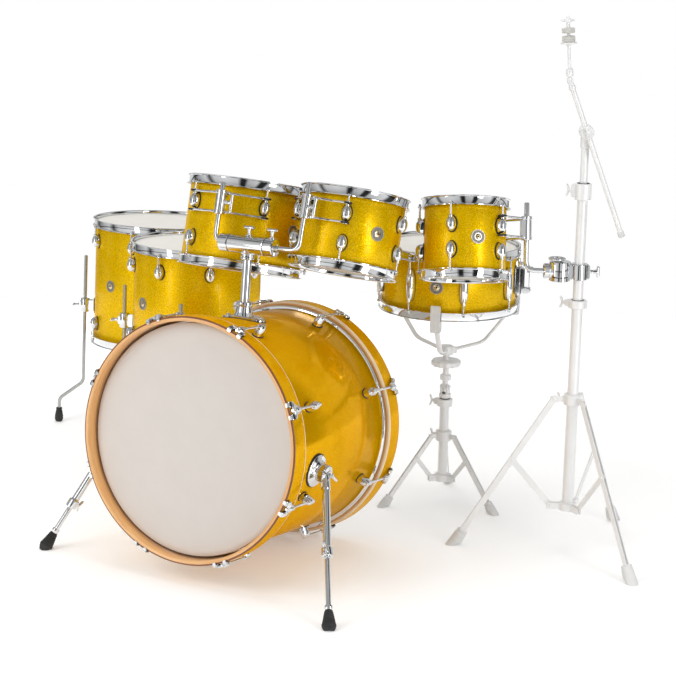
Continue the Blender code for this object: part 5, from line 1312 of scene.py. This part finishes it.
def snare_stand():
    place = KIT @ shift(*SNARE_PLACE, 0)
    tripod("snare_stand", SNARE_TRIPOD, place)
    fork = BASKET_TILT - 0.018
    piece = Piece("snare_stand_inner_tube", "snare_upper_tube", place, ("snare_stand_upper_tube",), "stand")
    piece.add(STAND, rod((0, 0, SNARE_TUBE_TOP - 0.12), (0, 0, fork), 0.01, 48))
    piece.add(STAND, turned(mm(0, -12, 14.5, -12, 16, -10, 16, -1, 15, 0, 0, 0), (0, 0, fork), Z_AXIS, 0.0008, 40))
    piece.add(STAND, rod((-0.014, 0, BASKET_TILT), (0.014, 0, BASKET_TILT), 0.0024, 16))
    for side in (-1, 1):
        cheek = facing((side * 0.0082, 0, fork + 0.008), X_AXIS, Z_AXIS)
        piece.add(STAND, moved(plate(0.033, 0.02, -0.0025, 0.0025, 3.0), cheek))
        nut = mm(0, 0, 5.8, 0, 5.8, 3, 4, 4.2, 0, 4.2)
        piece.add(STAND, turned(nut, (side * 0.0105, 0, BASKET_TILT), X_AXIS * side, 0.0006, 6))
    piece.done()
    tilter = place @ shift(z=BASKET_TILT)
    basket(tilter)
    snare_drum(tilter)


def basket(tilter):
    hub = BASKET_HUB - BASKET_TILT
    knob = BASKET_KNOB - BASKET_TILT
    seat = SNARE_RIM_BOTTOM - BASKET_TILT - SEAT
    radius = SNARE["radius"]
    piece = Piece("snare_basket", "snare_tilter", tilter, ("snare_stand_basket",), "stand")
    stem = mm(0, 20, 14, 20, 15, 22, 15, 32, 13, 34, 8.5, 36)
    stem += mm(8.5, -12, 17.5, -11, 19, -9, 19, 10, 17.5, 13, 7.5, 13, 0, 13.5, up=hub)
    piece.add(STAND, lathe(stem, 40))
    piece.add(STAND, block((0.0098, 0.018, 0.03), shift(z=0.009), 0.001))
    wheel = mm(8, -8, 36, -8, 39, -5, 39, 5, 36, 8, 18, 7.5, 15, 8.5, 8, 8.5, up=knob)
    piece.add(STAND, lathe(wheel, 96, True, lambda a, i: 0.0011 * math.cos(12 * a) if i in (1, 2, 3, 4) else 0))
    for degrees in BASKET_ARMS:
        azimuth = math.radians(degrees)
        corners = [(0.012, hub), (0.105, hub + 0.018), (radius + 0.001, seat - 0.016)]
        path = filleted([polar(r, azimuth, z) for r, z in corners], 0.05, 8)
        piece.add(STAND, swept(path, 0.0072, 16, 0.62))
        lug_at = facing(polar(0.019, azimuth, hub), Z_AXIS, polar(1, azimuth))
        piece.add(STAND, block((0.02, 0.013, 0.018), lug_at, 0.002))
        piece.add(STAND_RUBBER, basket_grip(radius, seat, azimuth))
    piece.done()


def basket_grip(radius, seat, azimuth):
    """A rubber grip: a seat under the hoop and a tall lip outside it."""
    inner = radius - 0.006
    lip = radius + 0.0175
    outer = lip + 0.007
    low = seat - 0.028
    high = seat + 0.044
    outline = mm(0, 6, 6, 0, out=inner, up=low) + mm(-4, 0, 0, 6, out=outer, up=low)
    outline += mm(0, -4, -3, 0, out=outer, up=high) + mm(1, 0, 0, -2, out=lip, up=high)
    outline += [(lip, seat), (inner, seat)]
    return moved(prism(outline, lambda x, z, y: (x, y, z), 0.013, 0.0014, 20), spin(azimuth))


def boom_stand():
    place = KIT @ shift(*BOOM_PLACE, 0)
    tripod("boom_stand", BOOM_TRIPOD, place)
    radius = BOOM_TRIPOD["inner"]
    piece = Piece("boom_stand_second_tube", "boom_middle_tube", place, ("boom_stand_middle_tube",), "stand")
    low = BOOM_TRIPOD["top"] - 0.16
    piece.add(STAND, bushing(UPPER_TUBE + 0.0012, radius, low, MIDDLE_TUBE_TOP - 0.004, SAW_CUT))
    piece.add(STAND, *clamp_at(MIDDLE_TUBE_TOP, UPPER_TUBE + 0.0022, 0.04, -X_AXIS))
    ring = (MIDDLE_TUBE_TOP - 0.0015, MIDDLE_TUBE_TOP + 0.0008)
    piece.add(GASKET, bushing(UPPER_TUBE + 0.0007, UPPER_TUBE + 0.0062, *ring, SAW_CUT))
    multi_clamp(piece, radius)
    piece.done()
    tom8_arm(place)
    lean = polar(1, BOOM_AZIMUTH)
    up = Z_AXIS * math.cos(BOOM_LEAN) + lean * math.sin(BOOM_LEAN)
    axis = Z_AXIS.cross(lean)
    level = Vector((0, 0, BOOM_HEIGHT))
    top = Piece("boom_stand_third_tube", "boom_upper_tube", place, ("boom_stand_upper_tube",), "stand")
    top.add(STAND, rod((0, 0, MIDDLE_TUBE_TOP - 0.17), (0, 0, UPPER_TUBE_TOP - 0.012), UPPER_TUBE, 40))
    neck = mm(0, -18, 11.5, -18, 12.5, -16, 12.5, 10, 11, 20, 0, 24)
    top.add(STAND, turned(neck, (0, 0, UPPER_TUBE_TOP), Z_AXIS, 0.001, 36))
    disc = mm(0, -14, 15.8, -14, 17, -12.8, 17, 12.8, 15.8, 14, 0, 14)

    def teeth(angle, index):
        return 0.0005 * math.cos(28 * angle) if index in (2, 3) else 0

    top.add(STAND, moved(lathe(disc, 112, swell=teeth), facing(level, axis)))
    top.add(STAND, rod(level, level + axis * (BOOM_SIDE + 0.02), 0.0034, 20))
    top.add(STAND, *wing_screw(level + axis * (BOOM_SIDE + 0.0125), axis, up, 0.008, 0.032))
    top.done()
    boom(place @ facing(level, axis, up))


def multi_clamp(piece, radius):
    """The clamp on the middle tube: a collar, a cup with a ring handle, and the jaw for the small tom's arm."""
    way = polar(1, TOM8_ARM_AZIMUTH)
    level = Vector((0, 0, TOM8_ARM_HEIGHT))
    across = Z_AXIS.cross(way)
    piece.add(CHROME, moved(bushing(radius - 0.0006, radius + 0.0085, -0.02, 0.02), Matrix.Translation(level)))
    piece.add(CHROME, block((0.03, 0.036, 0.022), facing(level + way * 0.028, way, across), 0.0025))
    cup = level + way * MULTI_CUP_OUT
    body = mm(0, -25, 23, -25, 25.6, -23, 25.6, -14.5, 24.2, -13.8, 24.2, -11.2, 26.6, -10.4, 26.6, 22.5,
              25, 24.6, 0, 25)
    piece.add(CHROME, moved(lathe(body, 56), Matrix.Translation(cup)))
    band = mm(23.8, -13.6, 24.6, -13.2, 24.6, -11.8, 23.8, -11.4)
    piece.add(GASKET, moved(lathe(band, 56, True), Matrix.Translation(cup)))
    # Two thin black slivers on the cup stand in for its slits: painted shade
    for turn in (-72.0, 72.0):
        azimuth = TOM8_ARM_AZIMUTH + math.radians(turn)
        slit_shade_sliver = facing(cup + polar(0.0259, azimuth, 0.006), polar(1, azimuth), Z_AXIS.cross(polar(1, azimuth)))
        piece.add(GASKET, block((0.0012, 0.032, 0.0016), slit_shade_sliver, 0.0003))
    inside = ARM_RADIUS * 1000 + 0.4
    jaw = mm(inside, 60, 18.5, 60, 19, 70, 19, 73.5, 18, 74.2, 18, 75.6, 19, 76.3, 19, 86.2, 17.2, 88, inside, 88)
    piece.add(CHROME, moved(lathe(jaw, 44, True), facing(level, way)))
    far = level - way * (radius + 0.01)
    piece.add(CHROME, block((0.024, 0.034, 0.006), facing(far, -way, across), 0.002))
    piece.add(CHROME, *bar_knob(far - way * 0.002, -way, Z_AXIS, 0.018, 0.028))
    stem = mm(0, 0, 7, 0, 7, 2, 4.8, 3, 4.8, 6, 6.2, 7, 6.2, 10, 0, 11)
    piece.add(CHROME, turned(stem, cup + Z_AXIS * 0.023, Z_AXIS, 0.0005, 28))
    handle = cup + way * 0.008 + Z_AXIS * 0.031
    piece.add(CHROME, moved(ring_of(0.019, 0.0026, 56), Matrix.Translation(handle)))
    piece.add(CHROME, rod(handle - way * 0.018, handle + way * 0.018, 0.0024, 16))


def tom8_arm(place):
    way = polar(1, TOM8_ARM_AZIMUTH)
    pivot = place @ facing(Vector((0, 0, TOM8_ARM_HEIGHT)), Z_AXIS, way) @ spin(TOM8_LEAN, "X")
    start = BOOM_TRIPOD["tube"] + 0.012
    corners = [(start, 0, 0), (TOM8_REACH, 0, 0), (TOM8_REACH, 0, TOM8_RISE + ROD_OVER_TOM)]
    path = filleted(corners, ARM_BEND * 1.9, 10)
    path.insert(-1, path[-1].lerp(path[-2], 0.015))
    piece = Piece("tom8_arm_rod", "tom8_arm", pivot, ("tom8_arm",), "chrome")
    piece.add(CHROME, swept(path, ARM_RADIUS, 28, 1, 0, [1.0] * (len(path) - 1) + [0.8])).done()
    swivel = pivot @ shift(TOM8_REACH, 0, TOM8_RISE) @ spin(-TOM8_ARM_AZIMUTH)
    rack_tom("tom8", TOM8, swivel)


def boom(pivot):
    """The boom and its tilter half. X runs up the boom and Z along the tilter's pin."""
    side = Vector((0, 0, BOOM_SIDE))
    piece = Piece("boom_tube", "boom_arm", pivot, ("boom_arm",), "stand")
    piece.add(STAND, rod(side - X_AXIS * BOOM_DOWN, side + X_AXIS * BOOM_UP, 0.0065, 32))
    half = mm(3.8, 14.5, 15.2, 14.5, 16.5, 15.7, 16.5, 33.5, 15.2, 36.5, 3.8, 36.5)
    piece.add(STAND, lathe(half, 112, True, lambda a, i: 0.0005 * math.cos(28 * a) if i == 2 else 0))
    cap = mm(0, 0, 8.5, 0, 8.5, 12, 7, 14, 0, 14)
    piece.add(STAND_RUBBER, turned(cap, side - X_AXIS * (BOOM_DOWN - 0.006), -X_AXIS, 0.0012, 28))
    fork = side + X_AXIS * BOOM_UP
    piece.add(STAND, turned(mm(0, 0, 7.8, 0, 8.6, 2, 8.6, 10, 0, 10), fork - X_AXIS * 0.012, X_AXIS, 0.0008, 28))
    for sign in (-1, 1):
        cheek = fork + Vector((0.0085, 0, sign * 0.0067))
        piece.add(STAND, moved(plate(0.022, 0.014, -0.002, 0.002, 3.0), facing(cheek, Z_AXIS, X_AXIS)))
    pin = fork + X_AXIS * 0.012
    piece.add(STAND, rod(pin - Z_AXIS * 0.0095, pin + Z_AXIS * 0.0095, 0.0024, 16)).done()
    turn = spin(BOOM_LEAN - CYMBAL_ROD_LEAN)
    cymbal_seat(pivot @ Matrix.Translation(pin) @ turn.inverted())


def cymbal_seat(pivot):
    """The cymbal rod: seat cup, two felts, sleeve and wing nut."""
    low = CYMBAL_ROD_LENGTH - 0.058
    piece = Piece("cymbal_rod", "cymbal_tilter", pivot, ("cymbal_tilter",), "stand")
    rod_profile = mm(0, 10, 8, 10, 9, 12, 9, 26, 7.5, 28, 4, 30)
    rod_profile += mm(4, -8, 10, -6, 20, -4, 20, -1.5, 15, 0, 4.5, 0, up=low)
    rod_profile += mm(4.5, 138, 8, 139, 8.8, 141, 8.8, 146, 6, 149, 4, 150, 3.8, 153.5, 0, 154)
    piece.add(STAND, moved(lathe(rod_profile, 36), facing((0, 0, 0), X_AXIS)))
    for start, thick in ((low + 0.0003, 0.014), (low + 0.0215, 0.012)):
        felt = bushing(0.005, 0.016, start, start + thick, 0.0015, 0.002, 40)
        piece.add(FELT, moved(felt, facing((0, 0, 0), X_AXIS)))
    piece.add(STAND, bushing(0.0027, 0.0075, -0.0038, 0.0038, 0.0005, 0.0006, 32))
    piece.add(STAND, block((0.014, 0.01, 0.0074), shift(0.01, 0, 0), 0.001))
    nut = facing((0.1435, 0, 0), Z_AXIS, X_AXIS)
    piece.add(STAND, block((0.006, 0.034, 0.004), nut, 0.0014)).done()


# Studio

FLOOR_RADIUS = 2.8
# What metal reflects: the tone at each share of the way round, times the tone at each share of the way up
WALLS = [
    (0.0, 0.4), (0.06, 0.8), (0.09, 0.06), (0.12, 0.75), (0.2, 0.95), (0.265, 0.8), (0.285, 0.03), (0.31, 0.03),
    (0.325, 0.65), (0.375, 0.8), (0.39, 0.03), (0.42, 0.03), (0.435, 0.8), (0.53, 0.95), (0.555, 0.06), (0.6, 0.04),
    (0.63, 0.7), (0.72, 0.9), (0.77, 0.1), (0.82, 0.75), (0.93, 0.85), (0.965, 0.08), (1.0, 0.4),
]
RISE = [(0.0, 0.9), (0.03, 0.9), (0.05, 0.12), (0.08, 0.12), (0.11, 1.0), (0.55, 0.8), (0.8, 0.5), (1.0, 0.75)]
# Name, place, target, size across, size along, watts. Only strips are seen in metal
LAMPS = [
    ("key", (-1.8, -2.8, 2.9), (-0.1, 0.2, 0.4), 2.4, 2.0, 54),
    ("right_strip", (2.7, -0.6, 1.0), (0.1, 0.1, 0.7), 0.6, 2.0, 20),
    ("left_strip", (-1.5, -3.0, 1.0), (-0.1, 0.1, 0.7), 0.5, 2.0, 11),
    ("top", (-0.2, 0.6, 3.6), (-0.2, 0.3, 0.0), 3.2, 2.6, 46),
    ("back", (-2.6, 2.8, 2.4), (-0.2, 0.4, 0.5), 2.0, 1.6, 18),
]
# The photo's camera, fitted to the drums: it looks at the bass drum's middle from this side
CAMERA_AZIMUTH = math.radians(29.38)
CAMERA_ELEVATION = math.radians(13.0)
CAMERA_ROLL = math.radians(1.29)
CAMERA_DISTANCE = 5.0
CAMERA_RIGHT = 0.2321
CAMERA_UP = 0.2246
PHOTO_WIDTH = 676
FOCAL_PIXELS = 2016
SENSOR = 36
DAYLIGHT = 0.47


def floor_and_lights():
    scene = bpy.context.scene
    data = bpy.data.meshes.new("floor")
    sides = 96
    corners = [polar(FLOOR_RADIUS, 2 * math.pi * k / sides) for k in range(sides)]
    data.from_pydata(corners, [], [tuple(range(sides))])
    floor = bpy.data.objects.new("floor", data)
    scene.collection.objects.link(floor)
    floor.location = (0, 0, -0.0002)
    look = Look("studio_floor")
    fine = look.noise(3.0, 3.0)
    path = look.add("LightPath")
    look.set(Base_Color=look.mix(fine, (0.86, 0.86, 0.86, 1), (0.88, 0.88, 0.88, 1)), Roughness=0.75,
             Specular_IOR_Level=0.2)
    seen = look.math("MAXIMUM", path.outputs["Is Camera Ray"], path.outputs["Is Glossy Ray"])
    seen = look.math("MAXIMUM", seen, path.outputs["Is Transmission Ray"])
    apart = look.add("TexGradient", Vector=look.where((1 / FLOOR_RADIUS, 1 / FLOOR_RADIUS, 1)))
    apart.gradient_type = "SPHERICAL"
    glow = look.spread(apart.outputs["Fac"], 0.0, 0.62, 0.72, 0.26)
    look.set(Emission_Color=(1, 1, 1, 1), Emission_Strength=look.math("MULTIPLY", seen, glow))
    data.materials.append(look.material)

    world = bpy.data.worlds.new("studio")
    scene.world = world
    world.use_nodes = True
    sky = Nodes(world.node_tree)
    sky.tree.nodes.clear()
    out = sky.add("OutputWorld")
    parts = sky.add("SeparateXYZ", Vector=sky.add("TexCoord").outputs["Generated"])

    def ramp(value, stops):
        made = sky.add("ValToRGB")
        sky.put(made.inputs[0], value)
        band = made.color_ramp
        while len(band.elements) > 1:
            band.elements.remove(band.elements[-1])
        band.elements[0].position = stops[0][0]
        band.elements[0].color = (stops[0][1],) * 3 + (1,)
        for position, tone in stops[1:]:
            element = band.elements.new(position)
            element.color = (tone, tone, tone, 1)
        return made.outputs[0]

    angle = sky.math("DIVIDE", sky.math("ARCTAN2", parts.outputs[1], parts.outputs[0]), 2 * math.pi)
    walls = ramp(sky.math("ADD", angle, 0.5), WALLS)
    mixed = sky.math("MULTIPLY", walls, ramp(parts.outputs[2], RISE))
    path = sky.add("LightPath")
    glossy = sky.math("MAXIMUM", path.outputs["Is Glossy Ray"], path.outputs["Is Transmission Ray"])
    camera_ray = path.outputs["Is Camera Ray"]
    diffuse = sky.math("SUBTRACT", 1.0, sky.math("MAXIMUM", glossy, camera_ray))
    seen = sky.math("ADD", sky.math("MULTIPLY", glossy, mixed), camera_ray)
    strength = sky.math("ADD", seen, sky.math("MULTIPLY", diffuse, DAYLIGHT))
    background = sky.add("Background", Color=(1, 1, 1, 1), Strength=strength)
    sky.put(out.inputs[0], background.outputs[0])

    for name, place, target, size_x, size_y, power in LAMPS:
        lamp = bpy.data.lights.new(name, "AREA")
        lamp.shape = "RECTANGLE"
        lamp.size = size_x
        lamp.size_y = size_y
        lamp.energy = power
        made = bpy.data.objects.new(name, lamp)
        scene.collection.objects.link(made)
        middle = KIT @ Vector(target)
        at = KIT @ Vector(place)
        made.matrix_world = Matrix.Translation(at) @ (middle - at).to_track_quat("-Z", "Y").to_matrix().to_4x4()
        made.visible_camera = False
        made.visible_glossy = name.endswith("strip")


def camera():
    level = polar(1, CAMERA_AZIMUTH - math.pi / 2)
    back = level * math.cos(CAMERA_ELEVATION) + Z_AXIS * math.sin(CAMERA_ELEVATION)
    right = polar(1, CAMERA_AZIMUTH)
    up = back.cross(right)
    rolled_right = right * math.cos(CAMERA_ROLL) + up * math.sin(CAMERA_ROLL)
    rolled_up = up * math.cos(CAMERA_ROLL) - right * math.sin(CAMERA_ROLL)
    at = BASS.translation + back * CAMERA_DISTANCE + rolled_right * CAMERA_RIGHT + rolled_up * CAMERA_UP
    data = bpy.data.cameras.new("camera")
    data.sensor_width = SENSOR
    data.lens = FOCAL_PIXELS * SENSOR / PHOTO_WIDTH
    data.clip_start = 0.05
    data.clip_end = 200
    made = bpy.data.objects.new("camera", data)
    bpy.context.scene.collection.objects.link(made)
    made.matrix_world = Matrix.Translation(at) @ Matrix((rolled_right, rolled_up, back)).transposed().to_4x4()
    bpy.context.scene.camera = made


camera()
floor_and_lights()
bass_shell()
for side, label, film in ((1, "front", FILM_FRONT), (-1, "batter", FILM_WHITE)):
    bass_hoop(side, label)
    bass_head(side, label, film)
spur(1)
spur(-1)
tom_post()
arm_rods = tom_arms()
rack_tom("tom12", TOM12, arm_rods["tom12_arm"])
rack_tom("tom10", TOM10, arm_rods["tom10_arm"])
floor_tom("floor14", FLOOR14)
floor_tom("floor16", FLOOR16)
snare_stand()
boom_stand()

bpy.context.scene.view_settings.view_transform = "Standard"
bpy.context.view_layer.update()
